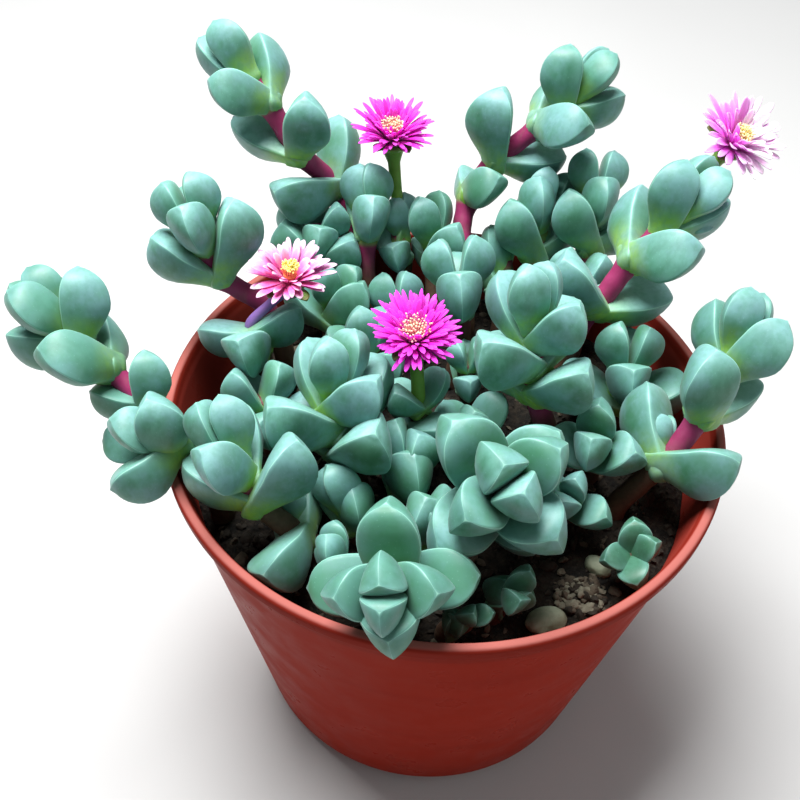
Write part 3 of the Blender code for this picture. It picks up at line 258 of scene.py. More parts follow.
FLOWERS = (
    Flower("left_flower", "left_flower_shoot", ((-35.6, 14, 99), (-31.8, 16, 102)), (0.06, -0.08, 0.99),
           9.4, 22, 54, 1.55, ((0.780, 0.030, 0.230), (0.840, 0.200, 0.600), (0.920, 0.660, 0.850)),
           0.75, ((0.900, 0.560, 0.160), (0.950, 0.880, 0.260)), 0.74, 1.0),
    Flower("middle_flower", "middle_flower_shoot", ((-5.5, -3, 97), (-6.4, -0.5, 102)), (0.0, -0.2, 0.98),
           9.4, 28, 132, 0.98, ((0.620, 0.006, 0.360), (0.830, 0.012, 0.620), (0.880, 0.070, 0.740)),
           1.9, ((0.850, 0.330, 0.420), (0.930, 0.720, 0.480)), 0.96, 0.0),
    Flower("back_flower", "back_flower_shoot", ((-14.4, 49, 102), (-15.6, 52, 110.5)), (0.0, -0.15, 1.0),
           9.8, 34, 110, 1.0, ((0.560, 0.008, 0.330), (0.760, 0.012, 0.560), (0.860, 0.080, 0.720)),
           1.4, ((0.820, 0.330, 0.360), (0.930, 0.700, 0.440)), 0.96, 0.0),
    Flower("right_flower", "right_arm", ((47, 37, 120.5), (51.5, 43.5, 121.5)), (0.30, -0.30, 0.88),
           10.6, 26, 60, 1.75, ((0.780, 0.010, 0.500), (0.850, 0.160, 0.790), (0.900, 0.430, 0.880)),
           0.9, ((0.940, 0.620, 0.300), (0.960, 0.900, 0.420)), 0.96, 0.0),
)


def smoothstep(t):
    t = min(max(t, 0.0), 1.0)
    return t * t * (3 - 2 * t)


def inner_radius(z):
    """The inside of the pot wall at a height above the floor."""
    share = (z - HEEL_HEIGHT) / (POT_HEIGHT - LIP_DROP - HEEL_HEIGHT)
    return HEEL_RADIUS + (SHOULDER_RADIUS - HEEL_RADIUS) * share - WALL


def soil_height(x, y):
    """The lumpy top of the soil."""
    edge = inner_radius(SOIL_EDGE)
    crown = SOIL_CROWN * (1 - min(1.0, (x * x + y * y) / edge ** 2))
    lump = noise.noise(Vector((x, y, 0)) * SOIL_GRAIN)
    lump += 0.5 * noise.noise(Vector((x, y, 40)) * SOIL_FINER * SOIL_GRAIN)
    return SOIL_EDGE + crown + SOIL_LUMP * lump


def leaf_section(t, length, width, depth):
    """Five points round a leaf at share t of its length, in the leaf's own frame.

    X is the leaf's width, Y points out of its keeled back and Z runs along it. The
    points are margin, margin, flank, keel, flank, and the inner face is left flat.
    """
    swell = smoothstep(t / SHOULDER)
    over = max(0.0, t - SHOULDER) / (1 - SHOULDER)
    close = (1 - over ** TIP_FALL) ** TIP_BLUNT
    half = 0.5 * width * (NECK + (1 - NECK) * swell)
    deep = depth * (KEEL_NECK + (1 - KEEL_NECK) * swell)
    bulge = FLANK_BULGE - FLANK_FADE * smoothstep(t)
    wide, high = half * (0.5 + bulge), deep * (FLANK_HEIGHT + bulge)
    rise = MARGIN_RISE * deep
    corners = ((half, rise), (-half, rise), (-wide, high), (0.0, deep), (wide, high))
    tip = TIP_HEIGHT * depth
    curl = -LEAF_CURL * length * t * t
    return [(x * close, tip + (y - tip) * close + curl, t * length) for x, y in corners]


def leaf_points(length, width, depth):
    points = []
    for t in LEAF_STATIONS:
        points += leaf_section(t, length, width, depth)
    points.append((0, TIP_HEIGHT * depth - LEAF_CURL * length, length))
    return np.array(points)


def leaf_faces():
    """Faces over the rings of leaf_points and its apex, all turned outwards."""
    sides = LEAF_SIDES
    faces = [tuple(range(sides))]
    for ring in range(len(LEAF_STATIONS) - 1):
        low = ring * sides
        for i in range(sides):
            j = (i + 1) % sides
            faces.append((low + j, low + i, low + sides + i))
            faces.append((low + j, low + sides + i, low + sides + j))
    last = (len(LEAF_STATIONS) - 1) * sides
    for i in range(sides):
        faces.append((last + (i + 1) % sides, last + i, last + sides))
    return faces


def unit(v):
    return v / np.linalg.norm(v)


def beside(axis):
    """A direction square to the axis."""
    return unit(np.cross(axis, (0.0, 1.0, 0.0) if abs(axis[1]) < 0.9 else (1.0, 0.0, 0.0)))


def prism_points(start, end, radius):
    """Six-sided prism round a stretch of stem."""
    axis = unit(end - start)
    side = beside(axis)
    other = np.cross(axis, side)
    ring = [radius * (math.cos(a) * side + math.sin(a) * other) for a in np.arange(6) * math.pi / 3]
    return np.array([start + r for r in ring] + [end + r for r in ring])


def hermite_path(points):
    """A smooth line through the points, leaving the first one straight up."""
    tangents = [np.array((0.0, 0.0, 1.0)) * np.linalg.norm(points[1] - points[0])]
    for i in range(1, len(points) - 1):
        tangents.append(0.5 * (points[i + 1] - points[i - 1]))
    tangents.append(points[-1] - points[-2])
    line = []
    for i in range(len(points) - 1):
        p, q, a, b = points[i], points[i + 1], tangents[i], tangents[i + 1]
        for k in range(PATH_STEPS):
            t = k / PATH_STEPS
            line.append((2 * t ** 3 - 3 * t ** 2 + 1) * p + (t ** 3 - 2 * t ** 2 + t) * a
                        + (3 * t ** 2 - 2 * t ** 3) * q + (t ** 3 - t ** 2) * b)
    line.append(points[-1])
    return np.array(line)


def at_arc(line, arc):
    """The point and the direction at a distance along the line."""
    steps = np.linalg.norm(np.diff(line, axis=0), axis=1)
    sums = np.concatenate([[0], np.cumsum(steps)])
    arc = min(max(arc, 0.0), sums[-1])
    i = min(int(np.searchsorted(sums, arc, side="right")) - 1, len(steps) - 1)
    share = (arc - sums[i]) / steps[i]
    return line[i] + share * (line[i + 1] - line[i]), unit(line[i + 1] - line[i])


def arc_length(line):
    return float(np.linalg.norm(np.diff(line, axis=0), axis=1).sum())


class Body:
    """One leaf or one stretch of stem: a convex solid that can shift and, if a leaf, lean."""

    def __init__(self, owner, shape, faces, base, frame, share, leans, mover=None):
        self.owner = owner
        self.mover = mover or owner
        self.shape = shape  # points in the body's own frame
        self.faces = faces
        self.base = base
        self.frame = frame  # rows: width, keel direction, length direction
        self.rest = frame.copy()
        self.share = share  # how much of its shoot's shift it takes
        self.leans = leans
        self.scale = 1.0
        self.reach = np.linalg.norm(shape - shape.mean(axis=0), axis=1).max()

    def points(self, shifts):
        moved = self.base + self.share * shifts[self.mover]
        return self.scale * self.shape @ self.frame + moved


def outward_axes(points, faces):
    """The directions of a convex solid's faces."""
    a, b, c = (points[[f[k] for f in faces]] for k in range(3))
    normals = np.cross(b - a, c - a)
    sizes = np.linalg.norm(normals, axis=1)
    return normals[sizes > 1e-6] / sizes[sizes > 1e-6][:, None]


LEAF_FACES = leaf_faces()
PRISM_FACES = [(i, (i + 1) % 6, 6 + i) for i in range(6)] + [(2, 1, 0), (6, 7, 8)]
BLOCK_FACES = ((2, 1, 0), (4, 5, 6), (0, 1, 5), (1, 2, 6), (2, 3, 7), (3, 0, 4))
BLOOM_FACES = [(ring + i, ring + (i + 1) % 8, ring + 8 + i) for ring in (0, 8) for i in range(8)]
BLOOM_FACES += [(2, 1, 0), (16, 17, 18)]


class Plant:
    """Every shoot's stem line, leaves and the shifts that keep the shoots apart."""

    def __init__(self):
        self.bodies = []
        self.lines = {}
        self.shifts = {s.name: np.zeros(3) for s in SHOOTS}
        self.firm = {s.name: s.firm for s in SHOOTS}
        self.shifts["pot"] = np.zeros(3)
        self.firm["pot"] = 1e6
        self.add_wall()
        for number, shoot in enumerate(SHOOTS):
            self.grow(number, shoot)
        for flower in FLOWERS:
            self.add_bloom(flower)

    def add_block(self, owner, points, middle, faces, share, mover=None):
        """A body that takes up room and doesn't lean."""
        self.bodies.append(Body(owner, points - middle, faces, middle, np.eye(3), share, False, mover))

    def add_prism(self, owner, low, high, radius, share):
        """A straight piece of stem or stalk."""
        self.add_block(owner, prism_points(low, high, radius), (low + high) / 2, PRISM_FACES, share)

    def add_wall(self):
        """The pot's wall above the soil, as a ring of blocks."""
        low = SOIL_EDGE - WALL_DEPTH
        for i in range(POT_STEPS):
            block = []
            for z, inside in ((low, inner_radius(low)), (POT_HEIGHT, RIM_RADIUS - LIP_WIDTH)):
                for radius, step in ((inside, i), (RIM_RADIUS, i), (RIM_RADIUS, i + 1), (inside, i + 1)):
                    angle = 2 * math.pi * step / POT_STEPS
                    block.append((radius * math.cos(angle), radius * math.sin(angle), z))
            block = np.array(block)
            self.add_block("pot", block, block.mean(axis=0), BLOCK_FACES, 0.0)

    def add_bloom(self, flower):
        """The room that a flower's calyx and petals take, and its stalk."""
        place = calyx_top(flower, self)
        length = BLOOM_REACH * (flower.reach - PETAL_ROOT)
        rings = [(BLOOM_FOOT[0] * CALYX_RADIUS, BLOOM_FOOT[1])]
        for reach, lift in ((length, flower.lift), (INNER_REACH * length, flower.lift + INNER_LIFT)):
            lift = math.radians(lift)
            rings.append((PETAL_ROOT + reach * math.cos(lift), 1.5 * DISC_HEIGHT + reach * math.sin(lift)))
        cloud = [place @ Vector((radius * math.cos(k * math.pi / 4), radius * math.sin(k * math.pi / 4), z))
                 for radius, z in rings for k in range(8)]
        cloud = np.array(cloud)
        self.add_block(flower.name, cloud, cloud.mean(axis=0), BLOOM_FACES, 1.0, flower.shoot)
        ends = [self.lines[flower.shoot][-1]] + [np.array(p, float) for p in flower.stalk]
        for low, high in zip(ends, ends[1:]):
            self.add_prism(flower.shoot, low, high, STALK_RADIUS, 1.0)

    def grow(self, number, shoot):
        draw = random.Random(number)
        x, y = shoot.root
        soil = soil_height(x, y)
        start = np.array((x, y, soil + STEM_START), float)
        line = hermite_path([start] + [np.array(p, float) for p in shoot.path])
        foot = np.array((x, y, soil - ROOT_DEPTH), float)
        self.lines[shoot.name] = np.vstack([foot, line])
        total = arc_length(line)
        for pair, back in enumerate(shoot.gaps):
            place, axis = at_arc(line, total - back)
            turn = Vector((0, 0, 1)).rotation_difference(Vector(axis)).to_matrix()
            for side in (0, 1):
                turned = shoot.turn + 90 * pair + 180 * side + draw.uniform(-TURN_JITTER, TURN_JITTER)
                azimuth = math.radians(turned)
                out = np.array(turn @ Vector((math.cos(azimuth), math.sin(azimuth), 0)))
                spread = shoot.spreads[pair] + draw.uniform(-SPREAD_JITTER, SPREAD_JITTER) * (pair > 0)
                size = shoot.size * LEAF_SIZES[pair] * draw.uniform(*SIZE_JITTER)
                self.add_leaf(shoot.name, place, axis, out, spread, size, (total - back) / total)
                if 2 * pair + side in shoot.buds:
                    self.add_bud(shoot.name, place, axis, out, shoot.size, (total - back) / total)
        count = max(2, int(total / STEM_PIECE))
        for i in range(count):
            low = at_arc(line, total * i / count)[0]
            high = at_arc(line, total * (i + 1) / count)[0]
            share = (i + 0.5) / count
            self.add_prism(shoot.name, low, high, self.stem_radius(shoot, share), smoothstep(share))

    def stem_radius(self, shoot, share):
        least, greatest = STEM_SIZES
        return STEM_RADIUS * min(greatest, max(least, shoot.size)) * (1 + (STEM_TIP - 1) * share)

    def add_leaf(self, owner, place, axis, out, spread, size, share):
        lean = math.radians(spread)
        length = math.cos(lean) * axis + math.sin(lean) * out
        keel = -math.sin(lean) * axis + math.cos(lean) * out
        frame = np.array((np.cross(keel, length), keel, length))
        shape = leaf_points(LEAF_LENGTH * size, LEAF_WIDTH * size, LEAF_DEPTH * size)
        base = place - LEAF_SET * length + LEAF_OFFSET * out
        self.bodies.append(Body(owner, shape, LEAF_FACES, base, frame, smoothstep(share), True))

    def add_bud(self, owner, place, axis, out, size, share):
        """Two small leaves, face to face, in the axil of the leaf on this side."""
        lift = unit(out + BUD_LIFT * axis)
        side = unit(np.cross(axis, out))
        middle = place + BUD_REACH * size * unit(out + BUD_RISE * axis)
        for sign in (1, -1):
            self.add_leaf(owner, middle, lift, sign * side, BUD_SPREAD, BUD_SIZE * size, share)

    def contacts(self, margin):
        """Pairs of bodies of different shoots that come closer than the margin."""
        clouds = [body.points(self.shifts) for body in self.bodies]
        centres = np.array([cloud.mean(axis=0) for cloud in clouds])
        reaches = np.array([body.reach * body.scale for body in self.bodies])
        axes = {}
        found = []
        for i, body in enumerate(self.bodies):
            far = np.linalg.norm(centres[i + 1:] - centres[i], axis=1)
            near = np.nonzero(far < reaches[i] + reaches[i + 1:] + margin)[0] + i + 1
            for j in near:
                other = self.bodies[j]
                if other.owner == body.owner or other.mover == body.mover and not (other.leans or body.leans):
                    continue
                for k in (i, j):
                    if k not in axes:
                        axes[k] = outward_axes(clouds[k], self.bodies[k].faces)
                between = unit(centres[j] - centres[i])
                tests = np.vstack([axes[i], -axes[j], between[None]])
                over = (clouds[i] @ tests.T).max(axis=0) - (clouds[j] @ tests.T).min(axis=0)
                best = int(np.argmin(over))
                if over[best] > -margin:
                    found.append((i, j, tests[best], over[best] + margin))
        return found, clouds

    def lean(self, body, push, ease):
        """Turn a leaf about its base by a push on its outer part."""
        length = body.frame[2]
        across = push - (push @ length) * length
        turned_to = unit(length + ease * across / (body.reach * LEAN_ARM))
        self.aim(body, turned_to)

    def aim(self, body, length):
        turn = Vector(body.frame[2]).rotation_difference(Vector(length)).to_matrix()
        body.frame = np.array([turn @ Vector(row) for row in body.frame])

    def settle(self, rounds):
        """Push shoots apart, and leaves aside, until none crosses a neighbour, the pot or the soil."""
        for step in range(rounds):
            calm = max(0.0, 1 - CALMING * step / rounds)
            found, clouds = self.contacts(GAP)
            for i, j, normal, depth in found:
                first, second = self.bodies[i], self.bodies[j]
                give = 1 / self.firm[first.mover], 1 / self.firm[second.mover]
                total = sum(give)
                for body, sign, part in ((first, -1, give[0] / total), (second, 1, give[1] / total)):
                    push = sign * normal * depth * part
                    if body.leans:
                        self.lean(body, push, LEAN_EASE)
                    self.shifts[body.mover] += SHIFT_EASE * push * (LEAST_SHIFT + body.share)
            for body, cloud in zip(self.bodies, clouds):
                push = self.soil_push(body, cloud)
                if push is not None:
                    self.lean(body, push, SOIL_LEAN)
                    self.shifts[body.owner] += SOIL_SHIFT * push * body.share
            for body in self.bodies:
                if body.leans and calm > 0:
                    self.aim(body, unit(body.frame[2] + SPRING * calm * (body.rest[2] - body.frame[2])))
            for name in self.shifts:
                self.shifts[name] *= 1 - SPRING * calm
        return len(found)

    def soil_push(self, body, cloud):
        """How far a leaf must rise to clear the soil."""
        rise = SOIL_EDGE + SOIL_CROWN + SOIL_LUMP + GAP - cloud[:, 2].min()
        return np.array((0.0, 0.0, rise)) if body.leans and rise > 0 else None

    def shrink(self, rounds):
        """Make the last leaves that still cross a little smaller."""
        for _ in range(rounds):
            found, _ = self.contacts(0.5 * GAP)
            if not found:
                break
            for i, j, _, _ in found:
                pair = [b for b in (self.bodies[i], self.bodies[j]) if b.leans]
                if pair:
                    softest = min(pair, key=lambda body: (self.firm[body.mover], -body.scale))
                    softest.scale *= SHRINK_STEP
        return len(found)


def calyx_top(flower, plant):
    """The middle of the calyx's flat top, and the frame that faces the flower's way."""
    shift = plant.shifts[flower.shoot]
    face = Vector(flower.face).normalized()
    top = Vector(np.array(flower.stalk[-1]) + shift) + CALYX_RISE * face
    turn = Vector((0, 0, 1)).rotation_difference(face).to_matrix().to_4x4()
    return Matrix.Translation(top) @ turn


def settled_plant():
    plant = Plant()
    plant.settle(SETTLE_ROUNDS)
    plant.shrink(SHRINK_ROUNDS)
    return plant


# Detail of the finer leaves. Shares run from 0 to 1 along a leaf, or across one of its three faces.
LEAF_RINGS = (-0.10, -0.05, 0.0, 0.05, 0.11, 0.18, 0.26, 0.34, 0.43, 0.52, 0.60, 0.67, 0.74, 0.80,
              0.855, 0.90, 0.935, 0.962, 0.982, 0.994)
FACE_SHARES = (0.3, 0.5, 0.7)
FLANK_SHARES = (0.22, 0.36, 0.52, 0.68, 0.82)
ARC = (0.0, 0.22, 0.40, 0.5, 0.60, 0.78, 1.0)
FACE_DOME = 0.06  # how far the inner face swells, as a share of its width
BULGE_POWER = 1.1
MARGIN_ROUND = 0.085  # how much of each face a rounded margin takes
KEEL_ROUND = 0.05
SOFT_RIM = 0.35  # the painted edge mask just beside a margin, which is 1 on it
RIM_REACH = 0.35  # how far that mask reaches over a face
EDGE_REACH = 0.22  # how far the full mask reaches round a margin
EDGE_AT_FOOT = 0.25  # the mask's strength at a leaf's foot
EDGE_FULL = 0.5  # the share of the length at which it is full
BASE_ROUNDING = 0.12  # how far below the stem a leaf's rounded foot reaches
FOOT_SINK = 0.02
MUCRO = 0.35  # the tiny point at a leaf's apex
DENTS = ((0.22, 0.14), (0.3, 0.10))  # grain and depth of the dents across a leaf and in its keel

# Finer stems
STEM_SIDES = 16
STEM_RING = 0.7  # distance between two rings
STEM_FULLNESS = 1.08
NODE_SWELL = 0.34
NODE_BELOW = 2.6  # how far under its leaves a node swells the most
NODE_LENGTH = 2.0
STEM_ROUGH = 0.05
STEM_GRAIN = 0.5
BROWN_STEM_HEIGHT = 12  # how far over the soil a stem stays dark brown, partly its older bark and partly painted shade under the leaves
BROWN_STEM_FADE = 8
TUBE_FOOT, TUBE_CAP = 0.3, 0.4  # how far a tube's two ends are domed

# Stalks, calyces and petals
STALK_STEPS = 16
STALK_WAIST = 0.1
CALYX_SWELL = (1.75, 2.2, 2.6)
CALYX_RINGS = ((0.5, 2.85), (1.0, 3.0), (1.5, 2.96))
SEPALS = 5
SEPAL_FALL = 14  # how many degrees flatter than the petals they rise
SEPAL_TURN = 0.3
DISC = ((2.3, 0.0), (2.6, 0.3), (2.5, 0.8), (1.8, 1.05))
DISC_SIDES = 24
# Each layer's share of the petals, how far in they start, their reach and their lift in degrees
LAYERS = ((0.34, 0.0, 1.0, -3), (0.28, 0.2, 0.94, 9), (0.22, 0.4, 0.84, INNER_LIFT),
          (0.16, 0.6, 0.66, INNER_LIFT + 14))
PETAL_THICKNESS = 0.3
PETAL_REACHES, PETAL_WIDTHS, PETAL_CUPS = (0.74, 1.08), (0.75, 1.2), (0.1, 0.45)
PETAL_TILT, PETAL_TURN, LAYER_TURN = 13, 0.3, 0.4
PETAL_NARROW = 0.5  # a petal's width at its foot, as a share of its full width
THINNING = 0.7  # how much of its thickness a petal loses towards its sides
BLADE_WIDTHS = ((0.32, 0.84), (0.5, 0.96), (0.66, 1.0), (0.8, 0.93), (0.9, 0.74), (0.96, 0.5), (1.0, 0.2))
BLADE_ACROSS = (-1.0, -0.55, 0.0, 0.55, 1.0)
BLADE_STEP, BLADE_TIP = 0.05, 1.015  # shares of its length: how its slope is taken, and its apex

# Brushes of stamens
GOLDEN_TURN = 2.39996
PAD = ((1.3, -0.1), (1.35, 0.3), (1.0, 0.8))
PAD_SIDES = 16
STAMENS = 84
BRUSH_FOOT = 1.1
BRUSH_BASE = 0.4
BRUSH_HEIGHT = 3.1
BRUSH_DOME = 0.22
STAMEN_HEIGHTS, STAMEN_SPREADS = (0.72, 1.10), (0.7, 1.15)
BRUSH_TWIST = 0.2
KNEE_RISE = 0.25
FILAMENT_RADII = (0.11, 0.09, 0.07)
FILAMENT_SIDES = 5
ANTHER, ANTHER_STRETCH, ANTHER_DENTS = 0.20, (1, 1, 1.4), 0.15
STAMEN_SHADES = (0.1, 0.5, 0.85)

# Soil, grit and pebbles
SOIL_GAP = 0.12
SOIL_FINE_STEPS, SOIL_FINE_RINGS = 200, 74
SOIL_EDGE_FALL = 0.7  # how far the soil sinks at the wall, over the width that follows
SOIL_EDGE_WIDTH = 2.5
GROUND_BUMPS = ((0.34, 3, 0.55), (0.22, 9, 1.3))  # height, place and grain of each set
CRUMBS = 1700
CRUMB_MARGIN = 1.2
CRUMB_SIZES = ((0.3, 0.75), (0.7, 1.35))  # most of them, and each fourth one
CRUMB_SEED, GRIT_SEED, TINT_SEED = 11, 5, 100
CRUMB_STRETCH = ((0.8, 1.6), (0.7, 1.1), (0.5, 0.8))
GRIT_GRAINS = 70
GRIT_SPREAD = (1.35, 1.1)
GRIT_SIZES = (0.45, 1.0)
GRIT_STRETCH = ((0.9, 1.4), (0.8, 1.1), (0.6, 0.95))
GRAIN_DENTS = 0.35
PEBBLE_FINE_DENT = 0.025

# Finer pot
POT_FINE_STEPS = 160
CORNER_ROUND = 0.45
CORNER_STEPS = (0.0, 0.25, 0.5, 0.75, 1.0)
LIP_INSIDE, LIP_TOP, LIP_OUTSIDE, LIP_UNDER = 0.9, 0.5, 0.8, 0.2  # slopes at the corners of the lip
DRILL_SIDES = 32
SHARP_POT = 50  # degrees from which an edge stays sharp

BLANK = (0.0, 0.0, 0.0)
STEM_SLOT, CALYX_SLOT = 1, 2  # which finish of a shoot


def linked(name, data):
    """A new object in the scene."""
    made = bpy.data.objects.new(name, data)
    bpy.context.scene.collection.objects.link(made)
    return made


class Cloth:
    """Points, faces and painted masks gathered into one mesh."""

    def __init__(self):
        self.points, self.faces, self.form, self.kind, self.slots = [], [], [], [], []

    def add(self, points, faces, form=BLANK, kind=BLANK, slot=0):
        """form and kind hold three masks for all the points, or a list with three for each."""
        start = len(self.points)
        self.points += [tuple(p) for p in points]
        self.faces += [tuple(start + i for i in face) for face in faces]
        self.form += form if isinstance(form, list) else [form] * len(points)
        self.kind += kind if isinstance(kind, list) else [kind] * len(points)
        self.slots += [slot] * len(faces)

    def piece(self, name, finishes, smooth=180):
        mesh = bpy.data.meshes.new(name)
        mesh.from_pydata([Vector(p) * MM for p in self.points], [], self.faces)
        for layer, values in (("form", self.form), ("kind", self.kind)):
            painted = mesh.attributes.new(layer, "FLOAT_COLOR", "POINT")
            painted.data.foreach_set("color", [channel for value in values for channel in (*value, 1.0)])
        for finish in finishes:
            mesh.materials.append(finish)
        mesh.polygons.foreach_set("material_index", self.slots)
        mesh.shade_smooth()
        if smooth < 180:
            mesh.set_sharp_from_angle(angle=math.radians(smooth))
        mesh.update()
        return linked(name, mesh)


def stand_for(piece, slot, *nodes):
    """Hang the piece on the root body and hide the solids that it replaces. Its slot is not used."""
    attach(piece, "root")
    if nodes:
        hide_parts(*nodes)


def circle(radius, z, sides):
    """Points round the upright axis."""
    angles = [2 * math.pi * k / sides for k in range(sides)]
    return [(radius * math.cos(a), radius * math.sin(a), z) for a in angles]


def turned(profile, sides, first, last):
    """Rings of points for radii and heights, and the heights of two points that close them."""
    return [p for radius, z in profile for p in circle(radius, z, sides)] + [(0, 0, first), (0, 0, last)]


def ring_faces(rings, sides):
    """Quads between rings of points, and fans to the two points that follow the rings."""
    steps = [(i, (i + 1) % sides) for i in range(sides)]
    last = (rings - 1) * sides
    faces = [(low + j, low + i, low + sides + i, low + sides + j)
             for low in range(0, last, sides) for i, j in steps]
    for i, j in steps:
        faces += [(i, j, last + sides), (last + j, last + i, last + sides + 1)]
    return faces


def flipped(faces):
    return [face[::-1] for face in faces]


def curved(start, middle, end, share):
    """The point at a share of the way from start to end, on a line that bulges out to middle."""
    bulge = middle - 0.5 * (start + end)
    return start + (end - start) * share + bulge * (4 * share * (1 - share)) ** BULGE_POWER


def fine_section(t, length, width, depth):
    """The rounded outline of a leaf at share t, and each point's ridge and inner-face masks."""
    corners = [np.array(p) for p in leaf_section(max(t, 0.0), length, width, depth)]
    right, left, flank, keel, other = corners
    dome = 0.5 * (left + right) + np.array((0.0, -FACE_DOME * np.linalg.norm(left - right), 0.0))
    sides = ((right, dome, left, MARGIN_ROUND, MARGIN_ROUND, FACE_SHARES),
             (left, flank, keel, MARGIN_ROUND, KEEL_ROUND, FLANK_SHARES),
             (keel, other, right, KEEL_ROUND, MARGIN_ROUND, [1 - s for s in reversed(FLANK_SHARES)]))
    points, ridge, face = [], [], []
    for number, (start, middle, end, _, cut, shares) in enumerate(sides):
        points += [curved(start, middle, end, s) for s in shares]
        ridge += [SOFT_RIM * max(0.0, 1 - min(s, 1 - s) / RIM_REACH) for s in shares]
        face += [float(number == 0)] * len(shares)
        first = curved(start, middle, end, 1 - cut)
        following = sides[(number + 1) % 3]
        last = curved(*following[:3], following[3])
        for u in ARC:
            points.append((1 - u) ** 2 * first + 2 * u * (1 - u) * end + u * u * last)
            ridge.append(SOFT_RIM + (1 - SOFT_RIM) * max(0.0, 1 - abs(u - 0.5) / EDGE_REACH) ** 1.5)
            face.append((1 - u, 0.0, u)[number])
    if t < 0:
        middle = sum(corners) / 5
        share = math.sqrt(max(0.0, 1 - (t / BASE_ROUNDING) ** 2))
        points = [middle + (p - middle) * share for p in points]
        for p in points:
            p[2] = t * length
    return points, ridge, face


def add_fine_leaf(cloth, body, moved, age_and_shade, tone_and_shade):
    """One leaf, lofted smooth through many sections."""
    size = body.shape[-1][2] / LEAF_LENGTH
    length, width, depth = LEAF_LENGTH * size, LEAF_WIDTH * size, LEAF_DEPTH * size
    points, form = [], []
    for t in LEAF_RINGS:
        ring, ridge, face = fine_section(t, length, width, depth)
        points += ring
        strength = EDGE_AT_FOOT + (1 - EDGE_AT_FOOT) * smoothstep(t / EDGE_FULL)
        form += [(r * strength, max(t, 0.0), f) for r, f in zip(ridge, face)]
    sides = len(ring)
    foot = np.mean(points[:sides], axis=0) - np.array((0, 0, FOOT_SINK * length))
    apex = np.array((0, TIP_HEIGHT * depth - LEAF_CURL * length, length + MUCRO * size))
    form += [BLANK, (1.0, 1.0, 0.0)]
    cloud = np.array(points + [foot, apex])
    places = Vector((40 * tone_and_shade, 9 * age_and_shade, 5)), Vector((0, 70 * tone_and_shade, 3))
    for p in cloud:
        for axis, (grain, deep) in enumerate(DENTS):
            p[axis] += deep * size * noise.noise(Vector(p) * grain + places[axis])
    world = body.scale * cloud @ body.frame + moved
    cloth.add(world, ring_faces(len(LEAF_RINGS), sides), form, (tone_and_shade, age_and_shade, size))


def tube_rings(line, radii, sides):
    """Rings of points round a line, with as little twist as can be."""
    side = None
    rings = []
    for i, place in enumerate(line):
        along = unit(line[min(i + 1, len(line) - 1)] - line[max(i - 1, 0)])
        if side is None:
            side = beside(along)
        side = unit(side - (side @ along) * along)
        other = np.cross(along, side)
        rings += [place + x * side + y * other for x, y, _ in circle(radii[i], 0.0, sides)]
    return rings


def add_tube(cloth, line, radii, sides, form, kind, slot=0):
    """A closed round body along a line. form and kind hold three masks for each ring."""
    points = tube_rings(line, radii, sides)
    points.append(line[0] - TUBE_FOOT * unit(line[1] - line[0]))
    points.append(line[-1] + TUBE_CAP * unit(line[-1] - line[-2]))
    form, kind = ([m for m in masks for _ in range(sides)] + [masks[0], masks[-1]]
                  for masks in (form, kind))
    cloth.add(points, flipped(ring_faces(len(line), sides)), form, kind, slot)


def add_fine_stem(cloth, shoot, plant):
    """The stem with a swelling at each pair of leaves."""
    line = plant.lines[shoot.name][1:]
    total = arc_length(line)
    count = int(total / STEM_RING)
    shares = [0.0] + [i / count for i in range(count + 1)]
    places = [plant.lines[shoot.name][0]]
    for share in shares[1:]:
        places.append(at_arc(line, total * share)[0] + smoothstep(share) * plant.shifts[shoot.name])
    radii, form, kind = [], [], []
    soil = soil_height(*shoot.root)
    for place, share in zip(places, shares):
        below = [share * total - (total - gap) + NODE_BELOW for gap in shoot.gaps]
        near = max(math.exp(-(b / NODE_LENGTH) ** 2) for b in below)
        rough = noise.noise(Vector(place) * STEM_GRAIN)
        thick = STEM_FULLNESS + NODE_SWELL * near + STEM_ROUGH * rough
        radii.append(plant.stem_radius(shoot, share) * thick)
        # the third mask makes the stem dark brown near the soil: partly older bark, partly painted shade
        form.append((near, share, 1 - smoothstep((place[2] - soil - BROWN_STEM_HEIGHT) / BROWN_STEM_FADE)))
        kind.append((0.5 + 0.5 * rough, share, 0.0))
    add_tube(cloth, places, radii, STEM_SIDES, form, kind, STEM_SLOT)


def add_stalk(cloth, flower, plant):
    """The flower's stalk, its swollen calyx and five sepals."""
    place = calyx_top(flower, plant)
    shift = plant.shifts[flower.shoot]
    start = plant.lines[flower.shoot][-1] + shift
    line = hermite_path([start] + [np.array(p) + shift for p in flower.stalk])
    total = arc_length(line)
    face = np.array(Vector(flower.face).normalized())
    shares = [i / STALK_STEPS for i in range(STALK_STEPS + 1)]
    places = [at_arc(line, total * share)[0] for share in shares]
    slim = flower.stalk_slim * STALK_RADIUS
    radii = [slim * (1 - STALK_WAIST * math.sin(math.pi * share)) for share in shares[:-3]]
    radii += CALYX_SWELL
    for rise, radius in CALYX_RINGS:
        places.append(line[-1] + rise * face)
        radii.append(radius)
    rings = len(places)
    form = [(0.0, i / rings, 0.0) for i in range(rings)]
    kind = (flower.purple, 0.0, 0.0)
    add_tube(cloth, places, radii, STEM_SIDES, form, [kind] * rings, CALYX_SLOT)
    lift = math.radians(flower.lift - SEPAL_FALL)
    for k in range(SEPALS):
        azimuth = 2 * math.pi * (k + SEPAL_TURN) / SEPALS
        points, faces, masks = blade(root=2.0, reach=4.4, lift=lift, azimuth=azimuth, width=2.5,
                                     thickness=0.5, cup=0.3, narrow=0.35, drop=-0.6)
        form = [(0.0, 0.7 + 0.3 * along, 0.0) for along, _ in masks]
        cloth.add([place @ Vector(p) for p in points], faces, form, kind, CALYX_SLOT)


